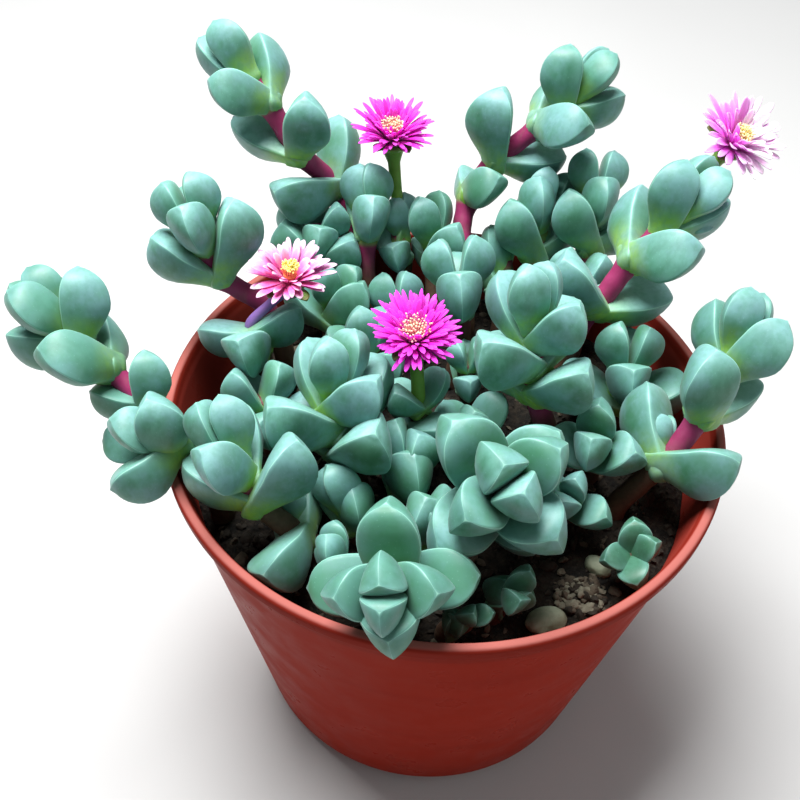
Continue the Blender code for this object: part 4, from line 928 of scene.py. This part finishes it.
def blade(root, reach, lift, azimuth, width, thickness, cup, narrow, drop=0.0):
    """A petal as a thin closed strip that rises from the flower's axis and bends outwards."""
    stations = ((0.0, narrow), (0.14, 0.5 + 0.4 * narrow)) + BLADE_WIDTHS
    out = np.array((math.cos(azimuth), math.sin(azimuth), 0))
    side = np.array((-math.sin(azimuth), math.cos(azimuth), 0))

    def spine(t):
        rise = reach * math.sin(lift) * (1 + PETAL_BEND - PETAL_BEND * t) * t
        return out * (root + reach * math.cos(lift) * t) + np.array((0, 0, 0.5 * DISC_HEIGHT + rise + drop))

    points, masks = [], []
    for t, share in stations:
        middle = spine(t)
        normal = np.cross(unit(spine(t + BLADE_STEP) - spine(t - BLADE_STEP)), side)
        if normal[2] < 0:
            normal = -normal
        half = 0.5 * width * share
        for way, row in ((0.5, BLADE_ACROSS), (-0.5, BLADE_ACROSS[::-1])):
            for u in row:
                raised = cup * half * u * u + way * thickness * (1 - THINNING * u * u)
                points.append(middle + half * u * side + raised * normal)
                masks.append((t, abs(u)))
    points += [spine(0.0), spine(BLADE_TIP)]
    masks += [(0.0, 0.0), (1.0, 0.0)]
    return points, ring_faces(len(stations), 2 * len(BLADE_ACROSS)), masks


def add_button(cloth, place, profile, sides, low, high):
    """The round body in the middle of a flower, from which its petals or stamens grow."""
    points = [place @ Vector(p) for p in turned(profile, sides, low, high)]
    cloth.add(points, flipped(ring_faces(len(profile), sides)), BLANK, (0.5, 0.5, 0.0))


def fine_petals(flower, place, draw):
    """Four layers of narrow petals round a disc."""
    petals = Cloth()
    add_button(petals, place, DISC, DISC_SIDES, 0, 1.1)
    for layer, (share, inward, reach, lift) in enumerate(LAYERS):
        count = round(flower.petals * share)
        root = PETAL_ROOT - inward
        for i in range(count):
            step = i + draw.uniform(-PETAL_TURN, PETAL_TURN) + LAYER_TURN * layer
            azimuth = 2 * math.pi * step / count
            length = (flower.reach - root) * reach * draw.uniform(*PETAL_REACHES)
            tilt = math.radians(flower.lift + lift + draw.uniform(-PETAL_TILT, PETAL_TILT))
            width = flower.petal_width * draw.uniform(*PETAL_WIDTHS)
            points, faces, masks = blade(root, length, tilt, azimuth, width, PETAL_THICKNESS,
                                         draw.uniform(*PETAL_CUPS), PETAL_NARROW)
            aim = place.to_3x3() @ Vector((math.cos(azimuth), math.sin(azimuth), 0))
            petals.add([place @ Vector(p) for p in points], faces, [(t, u, layer / 3) for t, u in masks],
                       (draw.random(), 0.5 + 0.5 * aim.x, 0.5 - 0.5 * aim.y))
    made = petals.piece(flower.name + "_petals_fine", [petal_finish(flower)])
    stand_for(made, "petal", flower.name + "_petals")


def fine_brush(flower, place, draw):
    """A brush of stamens, each with its anther."""
    brush = Cloth()
    add_button(brush, place, PAD, PAD_SIDES, -0.1, 0.95)
    for i in range(STAMENS):
        angle = i * GOLDEN_TURN
        reach = math.sqrt((i + 0.5) / STAMENS)
        start = BRUSH_FOOT * reach
        foot = np.array((start * math.cos(angle), start * math.sin(angle), BRUSH_BASE))
        tall = BRUSH_HEIGHT * draw.uniform(*STAMEN_HEIGHTS) * (1 - BRUSH_DOME * reach)
        wide = (BRUSH_FOOT + flower.brush_spread * draw.uniform(*STAMEN_SPREADS)) * reach
        aim = angle + BRUSH_TWIST
        tip = np.array((wide * math.cos(aim), wide * math.sin(aim), BRUSH_BASE + tall))
        knee = 0.5 * (foot + tip) + np.array((0.0, 0.0, KNEE_RISE))
        line = [np.array(place @ Vector(p)) for p in (foot, knee, tip)]
        kind = (draw.random(), 0.0, 0.0)
        form = [(0.0, shade, 0.0) for shade in STAMEN_SHADES]
        add_tube(brush, line, FILAMENT_RADII, FILAMENT_SIDES, form, [kind] * len(line))
        grain, grain_faces = grain_shape(draw, 1, ANTHER, ANTHER_STRETCH, ANTHER_DENTS)
        brush.add([line[-1] + p for p in grain], grain_faces, (1.0, 1.0, 0.0), kind)
    made = brush.piece(flower.name + "_stamens_fine", [stamen_finish(flower)])
    stand_for(made, "stamen", flower.name + "_stamens")


def ball(detail, size):
    """The points and faces of a round ball."""
    bm = bmesh.new()
    bmesh.ops.create_icosphere(bm, subdivisions=detail, radius=size)
    points = [vertex.co.copy() for vertex in bm.verts]
    faces = [tuple(v.index for v in face.verts) for face in bm.faces]
    bm.free()
    return points, faces


def grain_shape(draw, detail, size, stretch, dents):
    """An uneven grain: its points round the origin, and its faces."""
    turn = Matrix.Rotation(draw.uniform(0, 6.28), 3, (draw.uniform(-1, 1), draw.uniform(-1, 1), 1))
    offset = Vector((draw.uniform(0, 50), draw.uniform(0, 50), 0))
    round_points, faces = ball(detail, size)
    points = []
    for p in round_points:
        dent = 1 + dents * 2 * noise.noise(p / size * 0.9 + offset)
        points.append(np.array(turn @ Vector(p[i] * stretch[i] * dent for i in range(3))))
    return points, faces


def fine_ground(x, y):
    """The soil's top with its crumbs."""
    rough = [high * noise.noise(Vector((x, y, level)) * grain) for high, level, grain in GROUND_BUMPS]
    return soil_height(x, y) + sum(rough)


def add_grain(cloth, draw, x, y, size, stretches, detail, rise, loose=0.0):
    """An uneven grain on the soil, with its middle a rise above it, or up to loose higher."""
    stretch = [draw.uniform(*limits) for limits in stretches]
    grain, faces = grain_shape(draw, detail, size, stretch, GRAIN_DENTS)
    high = fine_ground(x, y) + rise + (draw.uniform(0, loose) if loose else 0.0)
    middle = np.array((x, y, high))
    cloth.add([middle + p for p in grain], faces, BLANK, (draw.random(), draw.random(), 0.0))


def fine_soil():
    edge = inner_radius(SOIL_EDGE) - SOIL_GAP
    points = []
    for i in range(1, SOIL_FINE_RINGS + 1):
        radius = edge * i / SOIL_FINE_RINGS
        fall = SOIL_EDGE_FALL * smoothstep((radius - edge + SOIL_EDGE_WIDTH) / SOIL_EDGE_WIDTH)
        points += [(x, y, fine_ground(x, y) - fall) for x, y, _ in circle(radius, 0, SOIL_FINE_STEPS)]
    heel, floor = inner_radius(HEEL_HEIGHT) - GAP, RECESS + FLOOR + GAP
    under = ((heel, HEEL_HEIGHT + 1.6), (heel - HEEL_CORNER, floor))
    points += turned(under, SOIL_FINE_STEPS, fine_ground(0, 0), floor)
    cloth = Cloth()
    cloth.add(points, ring_faces(SOIL_FINE_RINGS + len(under), SOIL_FINE_STEPS), BLANK, (0.5, 0.0, 0.0))
    stand_for(cloth.piece("soil_fine", [soil_finish()]), "soil", "soil")

    crumbs = Cloth()
    draw = random.Random(CRUMB_SEED)
    for i in range(CRUMBS):
        radius = (edge - CRUMB_MARGIN) * math.sqrt(draw.random())
        angle = draw.uniform(0, 2 * math.pi)
        size = draw.uniform(*CRUMB_SIZES[i % 4 == 0])
        add_grain(crumbs, draw, radius * math.cos(angle), radius * math.sin(angle), size, CRUMB_STRETCH,
                  2 if size > 0.8 else 1, 0.15 * size)
    stand_for(crumbs.piece("soil_crumbs", [crumb_finish("crumbs", 0.72, 0.93)], 40), "soil")


def fine_grit():
    draw = random.Random(GRIT_SEED)
    cloth = Cloth()
    for i in range(GRIT_GRAINS):
        share = math.sqrt((i + 0.5) / GRIT_GRAINS)
        x, y = (middle + wide * GRIT_RADIUS * share * way(i * GOLDEN_TURN)
                for middle, wide, way in zip(GRIT_CENTRE, GRIT_SPREAD, (math.cos, math.sin)))
        size = draw.uniform(*GRIT_SIZES)
        add_grain(cloth, draw, x, y, size, GRIT_STRETCH, 2, size * 0.3 + 1 - share, 0.5)
    stand_for(cloth.piece("grit_fine", [crumb_finish("grit_grains", 0.25, 0.5)], 45), "grit", "grit")


def fine_pebbles():
    finish = pebble_finish()
    round_points, faces = ball(5, 1.0)
    for number, (name, ((x, y), radii, turn)) in enumerate(zip(("pebble_front", "pebble_right"), PEBBLES)):
        place = Matrix.Translation((x, y, soil_height(x, y) + PEBBLE_SINK * radii[2]))
        place = place @ Matrix.Rotation(math.radians(turn), 4, "Z")
        points = []
        for p in round_points:
            dent = 1 + PEBBLE_DENT * noise.noise(p * 1.4 + Vector((7.0 * number, 0, 0)))
            dent += PEBBLE_FINE_DENT * noise.noise(p * 4 + Vector((0, 7.0 * number, 0)))
            points.append(place @ Vector(p[i] * radii[i] * dent for i in range(3)))
        cloth = Cloth()
        cloth.add(points, faces, BLANK, (number, 0.0, 0.0))
        stand_for(cloth.piece(name + "_fine", [finish]), "pebble", name)


def rounded(profile, radius):
    """The profile with each inner corner replaced by a short curve, without its two ends."""
    made = []
    for before, corner, after in zip(profile, profile[1:], profile[2:]):
        before, corner, after = Vector(before), Vector(corner), Vector(after)
        start, end = (corner + (p - corner).normalized() * min(radius, 0.4 * (p - corner).length)
                      for p in (before, after))
        made += [(1 - t) ** 2 * start + 2 * t * (1 - t) * corner + t * t * end for t in CORNER_STEPS]
    return made


def drill_holes(pot):
    """Cut the drain holes through the pot's floor."""
    drills = bpy.data.collections.new("drills")
    bpy.context.scene.collection.children.link(drills)
    for i in range(DRAINS):
        angle = 2 * math.pi * (i + 0.5) / DRAINS
        place = Matrix.Translation((DRAIN_CIRCLE * math.cos(angle), DRAIN_CIRCLE * math.sin(angle), RECESS))
        bm = bmesh.new()
        bmesh.ops.create_cone(bm, cap_ends=True, segments=DRILL_SIDES, radius1=DRAIN_RADIUS,
                              radius2=DRAIN_RADIUS, depth=3 * FLOOR, matrix=place)
        bmesh.ops.scale(bm, vec=(MM, MM, MM), verts=bm.verts)
        mesh = bpy.data.meshes.new("drill")
        bm.to_mesh(mesh)
        bm.free()
        drills.objects.link(bpy.data.objects.new("drill", mesh))
    cut = pot.modifiers.new("Drains", "BOOLEAN")
    cut.operation, cut.solver = "DIFFERENCE", "EXACT"
    cut.operand_type, cut.collection = "COLLECTION", drills
    graph = bpy.context.evaluated_depsgraph_get()
    made = bpy.data.meshes.new_from_object(pot.evaluated_get(graph))
    pot.modifiers.clear()
    pot.data = made
    for drill in list(drills.objects):
        bpy.data.objects.remove(drill)
    bpy.data.collections.remove(drills)
    made.shade_smooth()
    made.set_sharp_from_angle(angle=math.radians(SHARP_POT))


def fine_pot():
    """The pot with a rounded lip, a smooth wall and its drain holes."""
    lip, inside, floor = RIM_RADIUS, RIM_RADIUS - LIP_WIDTH, RECESS + FLOOR
    under = POT_HEIGHT - LIP_DROP
    profile = [
        (0, floor), (inner_radius(HEEL_HEIGHT) - HEEL_CORNER, floor),
        (inner_radius(HEEL_HEIGHT), HEEL_HEIGHT + HEEL_CORNER), (inner_radius(under), under),
        (inside, POT_HEIGHT - LIP_INSIDE), (inside + LIP_TOP, POT_HEIGHT), (lip - LIP_TOP, POT_HEIGHT),
        (lip, POT_HEIGHT - LIP_OUTSIDE), (lip - LIP_UNDER, under + LIP_UNDER),
        (SHOULDER_RADIUS, under - LIP_UNDER),
        (HEEL_RADIUS, HEEL_HEIGHT), (FOOT_RADIUS + FOOT_DRAFT, HEEL_HEIGHT - HEEL_TURN), (FOOT_RADIUS, 0),
        (FOOT_INNER_RADIUS, 0), (FOOT_INNER_RADIUS - FOOT_DRAFT, RECESS), (PAD_RADIUS + FOOT_DRAFT, RECESS),
        (PAD_RADIUS, 0), (0, 0),
    ]
    line = rounded(profile, CORNER_ROUND)
    points = turned(line, POT_FINE_STEPS, floor, 0)
    form = []
    # painted light: the first mask marks the inside of the wall, which the finish makes a lighter red
    for x, y, z in points:
        painted_light_inside = floor - 0.1 < z < POT_HEIGHT - 1.5 and math.hypot(x, y) < inner_radius(z) + 0.4 * WALL
        form.append((float(painted_light_inside), 0.0, 0.0))
    cloth = Cloth()
    cloth.add(points, ring_faces(len(line), POT_FINE_STEPS), form)
    pot = cloth.piece("pot_fine", [pot_finish()], SHARP_POT)
    drill_holes(pot)
    stand_for(pot, "pot", "pot")


SOCKETS = {"specular": "Specular IOR Level", "sheen": "Sheen Weight", "sheen_roughness": "Sheen Roughness",
           "sheen_tint": "Sheen Tint", "subsurface": "Subsurface Weight", "radius": "Subsurface Radius",
           "scale": "Subsurface Scale"}


class Finish:
    """A material put together from nodes."""

    def __init__(self, name, **fixed):
        self.material = bpy.data.materials.new(name)
        self.material.use_nodes = True
        self.tree = self.material.node_tree
        self.shader = self.tree.nodes["Principled BSDF"]
        for key, value in fixed.items():
            self.shader.inputs[SOCKETS[key]].default_value = value
        self.where = self.tree.nodes.new("ShaderNodeTexCoord").outputs["Object"]

    def node(self, kind, inputs=None, **settings):
        made = self.tree.nodes.new("ShaderNode" + kind)
        for key, value in settings.items():
            setattr(made, key, value)
        for key, value in (inputs or {}).items():
            if isinstance(value, bpy.types.NodeSocket):
                self.tree.links.new(value, made.inputs[key])
            else:
                made.inputs[key].default_value = value
        return made

    def noise(self, scale, detail=3.0, roughness=0.5, stretch=None):
        where = self.where
        if stretch:
            where = self.node("Mapping", {"Vector": where, "Scale": stretch}).outputs[0]
        return self.node("TexNoise", {"Vector": where, "Scale": scale, "Detail": detail,
                                      "Roughness": roughness}).outputs["Fac"]

    def spots(self, scale):
        return self.node("TexVoronoi", {"Vector": self.where, "Scale": scale}).outputs["Distance"]

    def masks(self, layer):
        """The three painted masks of a layer."""
        painted = self.node("Attribute", attribute_type="GEOMETRY", attribute_name=layer).outputs["Color"]
        return list(self.node("SeparateColor", {"Color": painted}).outputs)

    def upright(self, vector):
        return self.node("SeparateXYZ", {0: vector}).outputs[2]

    def span(self, value, low, high, start=0.0, end=1.0):
        """A value from low to high, taken smoothly to start and end."""
        return self.node("MapRange", {0: value, 1: low, 2: high, 3: start, 4: end},
                         interpolation_type="SMOOTHSTEP").outputs[0]

    def maths(self, operation, first, second):
        return self.node("Math", {0: first, 1: second}, operation=operation).outputs[0]

    def both(self, first, second):
        return self.maths("MULTIPLY", first, second)

    def blend(self, share, *colours):
        """A mix of two colours, each a tuple or another mix."""
        first, second = ((*c, 1.0) if isinstance(c, tuple) else c for c in colours)
        return self.node("Mix", {0: share, 6: first, 7: second}, data_type="RGBA").outputs[2]

    def over(self, skin, colour, value, low, high, most=1.0):
        """A colour laid over the skin: none where the value is low, its most where it is high."""
        return self.blend(self.span(value, low, high, 0.0, most), skin, colour)

    def done(self, colour, rough, height=None, strength=0.3, distance=0.0002):
        """rough holds the grain of the roughness and its least and greatest value."""
        grain, smooth, coarse, *detail = rough
        self.tree.links.new(colour, self.shader.inputs["Base Color"])
        roughness = self.span(self.noise(grain, *detail), 0.3, 0.7, smooth, coarse)
        self.tree.links.new(roughness, self.shader.inputs["Roughness"])
        if height:
            bump = self.node("Bump", {"Height": height, "Strength": strength, "Distance": distance})
            self.tree.links.new(bump.outputs[0], self.shader.inputs["Normal"])
        return self.material


def leaf_finish():
    """Glaucous blue-green skin with a waxy bloom, pale ridges and a yellow-green base, with painted light on
    the upward-facing sides and painted shade towards each leaf's foot, on shoots set dark and on the lowest
    and shaded leaves.
    """
    f = Finish("leaf_skin", specular=0.38, sheen=0.12, sheen_roughness=0.45, sheen_tint=(0.75, 0.95, 0.95, 1),
               subsurface=0.10, radius=(0.5, 1.0, 0.5), scale=0.0012)
    edge, along, inner = f.masks("form")
    tone_and_shade, age_and_shade, _ = f.masks("kind")
    mottle = f.span(f.noise(230, 5, 0.6, (1.6, 1.6, 0.7)), 0.32, 0.68)
    skin = f.blend(mottle, (0.042, 0.176, 0.100), (0.105, 0.315, 0.228))
    skin = f.over(skin, (0.042, 0.172, 0.080), age_and_shade, 0.92, 0.50, 0.75)
    skin = f.over(skin, (0.072, 0.260, 0.110), inner, 0.3, 0.9, 0.70)
    # painted shade: darker green from the middle of a leaf towards its foot, where the leaves crowd round the
    # stem
    skin = f.over(skin, (0.045, 0.180, 0.096), along, 0.95, 0.40, 0.35)
    skin = f.over(skin, (0.270, 0.500, 0.050), along, 0.54, 0.14, 0.95)
    skin = f.over(skin, (0.185, 0.365, 0.425), f.noise(95, 4, 0.65), 0.40, 0.64, 0.58)
    # painted light: faces that point upwards are blended towards a pale blue-green, less so on leaves set
    # dark
    upward = f.upright(f.node("NewGeometry").outputs["Normal"])
    light = f.both(f.span(upward, 0.25, 0.95, 0.0, 0.58), f.span(tone_and_shade, 1.0, 0.3, 0.55))
    skin = f.blend(light, skin, (0.270, 0.505, 0.525))
    # partly the leaf's own tone, partly painted shade: leaves set dark are blended to a deep green
    skin = f.over(skin, (0.045, 0.180, 0.105), tone_and_shade, 0.3, 1.5, 0.62)
    # painted shade: the lowest leaves and the shaded shoots are blended to the darkest green
    skin = f.over(skin, (0.030, 0.112, 0.062), age_and_shade, 0.32, 0.08, 0.74)
    skin = f.over(skin, (0.075, 0.235, 0.160), f.noise(620, 4, 0.6, (1.3, 1.3, 0.6)), 0.40, 0.66, 0.30)
    skin = f.over(skin, (0.300, 0.580, 0.500), f.spots(1100), 0.18, 0.05, 0.16)
    skin = f.over(skin, (0.190, 0.420, 0.385), edge, 0.0, 0.42, 0.30)
    skin = f.over(skin, (0.360, 0.700, 0.560), edge, 0.50, 1.0, 0.62)
    return f.done(skin, (240, 0.40, 0.56), f.noise(900, 4), 0.12)


def stem_finish():
    """Magenta young stem, green at its nodes and dark brown near the soil, partly the older bark's colour and
    partly painted shade.
    """
    f = Finish("stem_skin", specular=0.35, subsurface=0.05, radius=(1.0, 0.4, 0.5), scale=0.001)
    near, _, old_and_shaded = f.masks("form")
    flesh = f.blend(f.noise(320, 4), (0.175, 0.012, 0.055), (0.400, 0.036, 0.155))
    flesh = f.over(flesh, (0.200, 0.090, 0.090), f.noise(260, 3, 0.6, (1, 1, 0.25)), 0.5, 0.75, 0.5)
    flesh = f.over(flesh, (0.170, 0.330, 0.085), near, 0.45, 0.95, 0.9)
    bark = f.blend(f.noise(700, 5, 0.7), (0.035, 0.020, 0.014), (0.150, 0.085, 0.050))
    # partly the older bark's colour, partly painted shade: the stem turns dark brown near the soil
    flesh = f.blend(old_and_shaded, flesh, bark)
    return f.done(flesh, (400, 0.45, 0.75), f.noise(1100, 4, 0.6, (1, 1, 0.4)), 0.3, 0.0003)


def calyx_finish():
    """Green calyx and stalk, or a purple stalk."""
    f = Finish("calyx_skin", specular=0.4, subsurface=0.08, radius=(0.6, 1.0, 0.3), scale=0.001)
    along, purple = f.masks("form")[1], f.masks("kind")[0]
    green = f.blend(f.noise(260, 3), (0.080, 0.200, 0.020), (0.230, 0.420, 0.070))
    violet = f.blend(f.noise(260, 3), (0.180, 0.080, 0.330), (0.360, 0.200, 0.520))
    skin = f.blend(f.both(purple, f.span(along, 0.9, 0.6)), green, violet)
    skin = f.over(skin, (0.160, 0.060, 0.050), along, 0.86, 1.0, 0.6)
    return f.done(skin, (500, 0.4, 0.6), f.noise(900, 3), 0.15)


def petal_finish(flower):
    """Silky petals that pale from foot to tip, with fine lines along them."""
    foot, middle, tip = flower.petal_tones
    f = Finish(flower.name + "_petal_skin", specular=0.3, sheen=0.25, sheen_roughness=0.35,
               subsurface=0.25, radius=(1.0, 0.5, 0.8), scale=0.0008)
    along, aside, _ = f.masks("form")
    tone, right, front = f.masks("kind")
    skin = f.over(f.over(foot, middle, along, 0.05, 0.42), tip, along, 0.45, 0.95)
    if flower.name == "left_flower":
        flush = f.both(f.span(front, 0.35, 0.75), f.span(along, 1.15, 0.55))
        skin = f.blend(f.both(flush, 0.90), skin, (0.860, 0.090, 0.400))
    if flower.name == "right_flower":
        pale = f.both(f.span(right, 0.30, 0.65, 0.0, 0.95), f.span(along, 0.12, 0.45))
        skin = f.blend(pale, skin, (0.950, 0.880, 0.940))
    skin = f.over(skin, middle, tone, 0.0, 1.0, 0.30)
    skin = f.over(skin, foot, aside, 0.8, 0.0, 0.22)
    skin = f.over(skin, tip, f.noise(900, 3), 0.35, 0.7, 0.20)
    return f.done(skin, (700, 0.42, 0.6), f.noise(1500, 3), 0.2)


def stamen_finish(flower):
    """Filaments that pale towards their dusty anthers."""
    thread, anther = flower.brush_tones
    f = Finish(flower.name + "_stamen_skin", specular=0.25, subsurface=0.15, radius=(1.0, 0.8, 0.4),
               scale=0.0005)
    skin = f.over(thread, anther, f.masks("form")[1], 0.2, 0.95)
    skin = f.over(skin, thread, f.noise(1600, 3), 0.35, 0.7, 0.35)
    return f.done(skin, (900, 0.55, 0.8), f.noise(3000, 2), 0.4)


def soil_finish():
    """Dark, damp peat with paler crumbs."""
    f = Finish("soil_peat", specular=0.25)
    peat = f.over((0.005, 0.0045, 0.0035), (0.028, 0.021, 0.014), f.noise(420, 6, 0.7), 0.35, 0.7)
    peat = f.over(peat, (0.080, 0.062, 0.040), f.noise(1300, 3, 0.6), 0.62, 0.74, 0.7)
    height = f.maths("ADD", f.noise(700, 6, 0.75), f.spots(900))
    return f.done(peat, (500, 0.7, 0.95), height, 0.8, 0.0012)


def crumb_finish(name, bark_from, sand_from):
    """Loose crumbs of peat, bark and grit, each in its own tone."""
    f = Finish(name, specular=0.3)
    dark, bark, sand = (f.blend(f.noise(900, 4), *tones) for tones in (
        ((0.008, 0.007, 0.005), (0.036, 0.027, 0.018)), ((0.040, 0.033, 0.023), (0.105, 0.085, 0.058)),
        ((0.085, 0.080, 0.056), (0.215, 0.200, 0.145))))
    tone = f.masks("kind")[0]
    skin = f.over(dark, bark, tone, bark_from, bark_from + 0.06)
    skin = f.over(skin, sand, tone, sand_from, sand_from + 0.04)
    return f.done(skin, (800, 0.65, 0.95), f.noise(1600, 5, 0.7), 0.6, 0.0006)


def pebble_finish():
    """Pale cream-green stone with darker grains, and brown on the second pebble."""
    f = Finish("pebble_stone", specular=0.35)
    stone = f.over((0.160, 0.195, 0.125), (0.310, 0.350, 0.250), f.noise(190, 5), 0.35, 0.7)
    stone = f.over(stone, (0.130, 0.120, 0.085), f.noise(1200, 4, 0.7), 0.58, 0.72, 0.5)
    brown = f.both(f.masks("kind")[0], f.span(f.noise(150, 3), 0.45, 0.6))
    stone = f.blend(brown, stone, (0.300, 0.150, 0.085))
    return f.done(stone, (600, 0.5, 0.8), f.noise(1000, 5, 0.65), 0.35, 0.0005)


def pot_finish():
    """Red-brown moulded plastic with faint flow marks and some dust at the foot, a painted highlight on the
    lip's top, painted shade on the lip's outside and painted light on the inside of the wall.
    """
    f = Finish("pot_plastic", specular=0.006)
    height = f.upright(f.where)
    body = f.blend(f.noise(24, 3), (0.262, 0.0195, 0.0105), (0.315, 0.0265, 0.0140))
    body = f.over(body, (0.205, 0.0130, 0.0080), f.noise(60, 4, 0.6, (0.3, 0.3, 3.0)), 0.45, 0.75, 0.30)
    # painted shade: everything above 78.5 mm, the lip and the top of the wall, is darkened to take back the
    # light that falls there
    body = f.over(body, (0.170, 0.020, 0.014), height, 0.0785, 0.0800, 0.45)
    # painted highlight: the lip's top is blended to a pale coral
    body = f.over(body, (0.420, 0.150, 0.130), height, 0.0865, 0.0870, 0.7)
    # painted light: the inside of the wall is a lighter red than the outside
    body = f.over(body, (0.340, 0.045, 0.032), f.masks("form")[0], 0.2, 0.8, 0.8)
    dust = f.both(f.span(height, 0.022, 0.004), f.span(f.noise(650, 4, 0.7), 0.66, 0.74))
    body = f.blend(dust, body, (0.500, 0.290, 0.210))
    body = f.over(body, (0.230, 0.035, 0.025), f.noise(90, 5, 0.65), 0.52, 0.78, 0.10)
    return f.done(body, (130, 0.27, 0.42, 4), f.noise(260, 3, 0.5, (0.4, 0.4, 1.6)), 0.06, 0.0003)


def floor_finish():
    f = Finish("floor_paper", specular=0.1)
    return f.done(f.blend(f.noise(9, 3), (0.54, 0.54, 0.535), (0.58, 0.58, 0.575)), (60, 0.8, 0.9))


# The stage, in metres
FLOOR_HALF = 6.0
LIT_POINT = (0, 0, 0.09)
LAMPS = (("key", (-0.13, 0.10, 0.63), 9.0, 0.34, (1.0, 1.0, 1.0)),
         ("fill", (0.50, -0.12, 0.26), 0.5, 0.4, (1.0, 0.98, 0.96)))
WORLD_COLOUR = (0.93, 0.97, 1.0, 1)
WORLD_LIGHT = 0.21
LENS, SENSOR, CLIP_START = 49.5, 36, 0.01
CAMERA_SPOT = (0.0, -0.147374, 0.245871)
CAMERA_RIGHT = Vector((0.99516, 0.09312, 0.03135))
CAMERA_UP = Vector((-0.08952, 0.72772, 0.68001))
CAMERA_FORWARD = Vector((-0.04051, 0.67952, -0.73253))


def stage():
    """The floor, the soft lights and the camera at the photograph's angle."""
    scene = bpy.context.scene
    mesh = bpy.data.meshes.new("floor")
    corners = [(x * FLOOR_HALF, y * FLOOR_HALF, 0) for x, y in ((-1, -1), (1, -1), (1, 1), (-1, 1))]
    mesh.from_pydata(corners, [], [(0, 1, 2, 3)])
    mesh.materials.append(floor_finish())
    floor = linked("floor", mesh)
    for name, spot, energy, size, colour in LAMPS:
        light = bpy.data.lights.new(name, "AREA")
        light.energy, light.size, light.color = energy, size, colour
        lamp = linked(name, light)
        lamp.location = spot
        lamp.rotation_euler = (Vector(spot) - Vector(LIT_POINT)).to_track_quat("Z", "Y").to_euler()
    scene.view_settings.view_transform = "Standard"
    world = bpy.data.worlds.new("studio")
    world.use_nodes = True
    back = world.node_tree.nodes["Background"]
    back.inputs[0].default_value = WORLD_COLOUR
    back.inputs[1].default_value = WORLD_LIGHT
    scene.world = world

    lens = bpy.data.cameras.new("camera")
    lens.sensor_width, lens.lens, lens.clip_start = SENSOR, LENS, CLIP_START
    camera = linked("camera", lens)
    turn = Matrix((CAMERA_RIGHT, CAMERA_UP, -CAMERA_FORWARD)).transposed().to_4x4()
    camera.matrix_world = Matrix.Translation(CAMERA_SPOT) @ turn
    scene.camera = camera


# Between which limits a shoot's leaves are green and dark: 0 is pale and blue, 1.5 the darkest
# The value is partly each leaf's own tone and partly painted light and shade: a paler leaf takes more painted
# top light, a darker one more painted shade.
HEAD_TONES_AND_SHADE = (0.0, 0.7)
FILLER_TONES_AND_SHADE = (0.5, 1.0)
# painted shade: the front shoot and the right edge shoot are set darkest for the dimmer light they stand in
LEAF_TONES_AND_SHADE = {"front_shoot": (1.1, 1.5), "front_right_shoot": (0.5, 1.1), "left_arm": (0.6, 1.1),
              "centre_right_shoot": (0.0, 0.2), "centre_left_shoot": (0.0, 0.4),
              "back_right_arm": (0.3, 1.0), "far_right_arm": (0.3, 1.0), "shoot_right_edge": (1.5, 1.5),
              "shoot_front_low": (0.9, 1.0), "shoot_front_edge": (0.9, 1.0)}
# painted shade: these low shoots stand in shade, so their leaves take the age that paints them darkest
SHADED_SHOOTS = ("shoot_right_edge", "shoot_front_low", "shoot_front_edge")
SHADED_SHOOT_AGE = 0.05


def fine_shoot(number, shoot, plant, finishes):
    """A shoot's stem, its leaves and, if it flowers, the stalk."""
    draw = random.Random(TINT_SEED + number)
    cloth = Cloth()
    add_fine_stem(cloth, shoot, plant)
    usual = FILLER_TONES_AND_SHADE if shoot.name.startswith("shoot_") else HEAD_TONES_AND_SHADE
    tone_and_shade_range = LEAF_TONES_AND_SHADE.get(shoot.name, usual)
    for body in plant.bodies:
        if body.owner == shoot.name and body.leans:
            moved = body.base + body.share * plant.shifts[body.mover]
            # painted shade for the shaded shoots, each leaf's place along its stem for the rest
            age_and_shade = SHADED_SHOOT_AGE if shoot.name in SHADED_SHOOTS else body.share
            add_fine_leaf(cloth, body, moved, age_and_shade, draw.uniform(*tone_and_shade_range))
    for flower in FLOWERS:
        if flower.shoot == shoot.name:
            add_stalk(cloth, flower, plant)
    stand_for(cloth.piece(shoot.name + "_fine", finishes), "leaf", shoot.name)


def fine_flower(flower, plant):
    """The petals and the brush, each a little clear of what it stands on."""
    place = calyx_top(flower, plant)
    face = Vector(flower.face).normalized()
    draw = random.Random(flower.name)
    fine_petals(flower, Matrix.Translation(GAP * face) @ place, draw)
    fine_brush(flower, Matrix.Translation((2 * GAP + DISC_HEIGHT) * face) @ place, draw)


def main():
    plant = settled_plant()
    finishes = [leaf_finish(), stem_finish(), calyx_finish()]
    for number, shoot in enumerate(SHOOTS):
        fine_shoot(number, shoot, plant, finishes)
    for flower in FLOWERS:
        fine_flower(flower, plant)
    fine_soil()
    fine_grit()
    fine_pebbles()
    fine_pot()
    stage()


main()
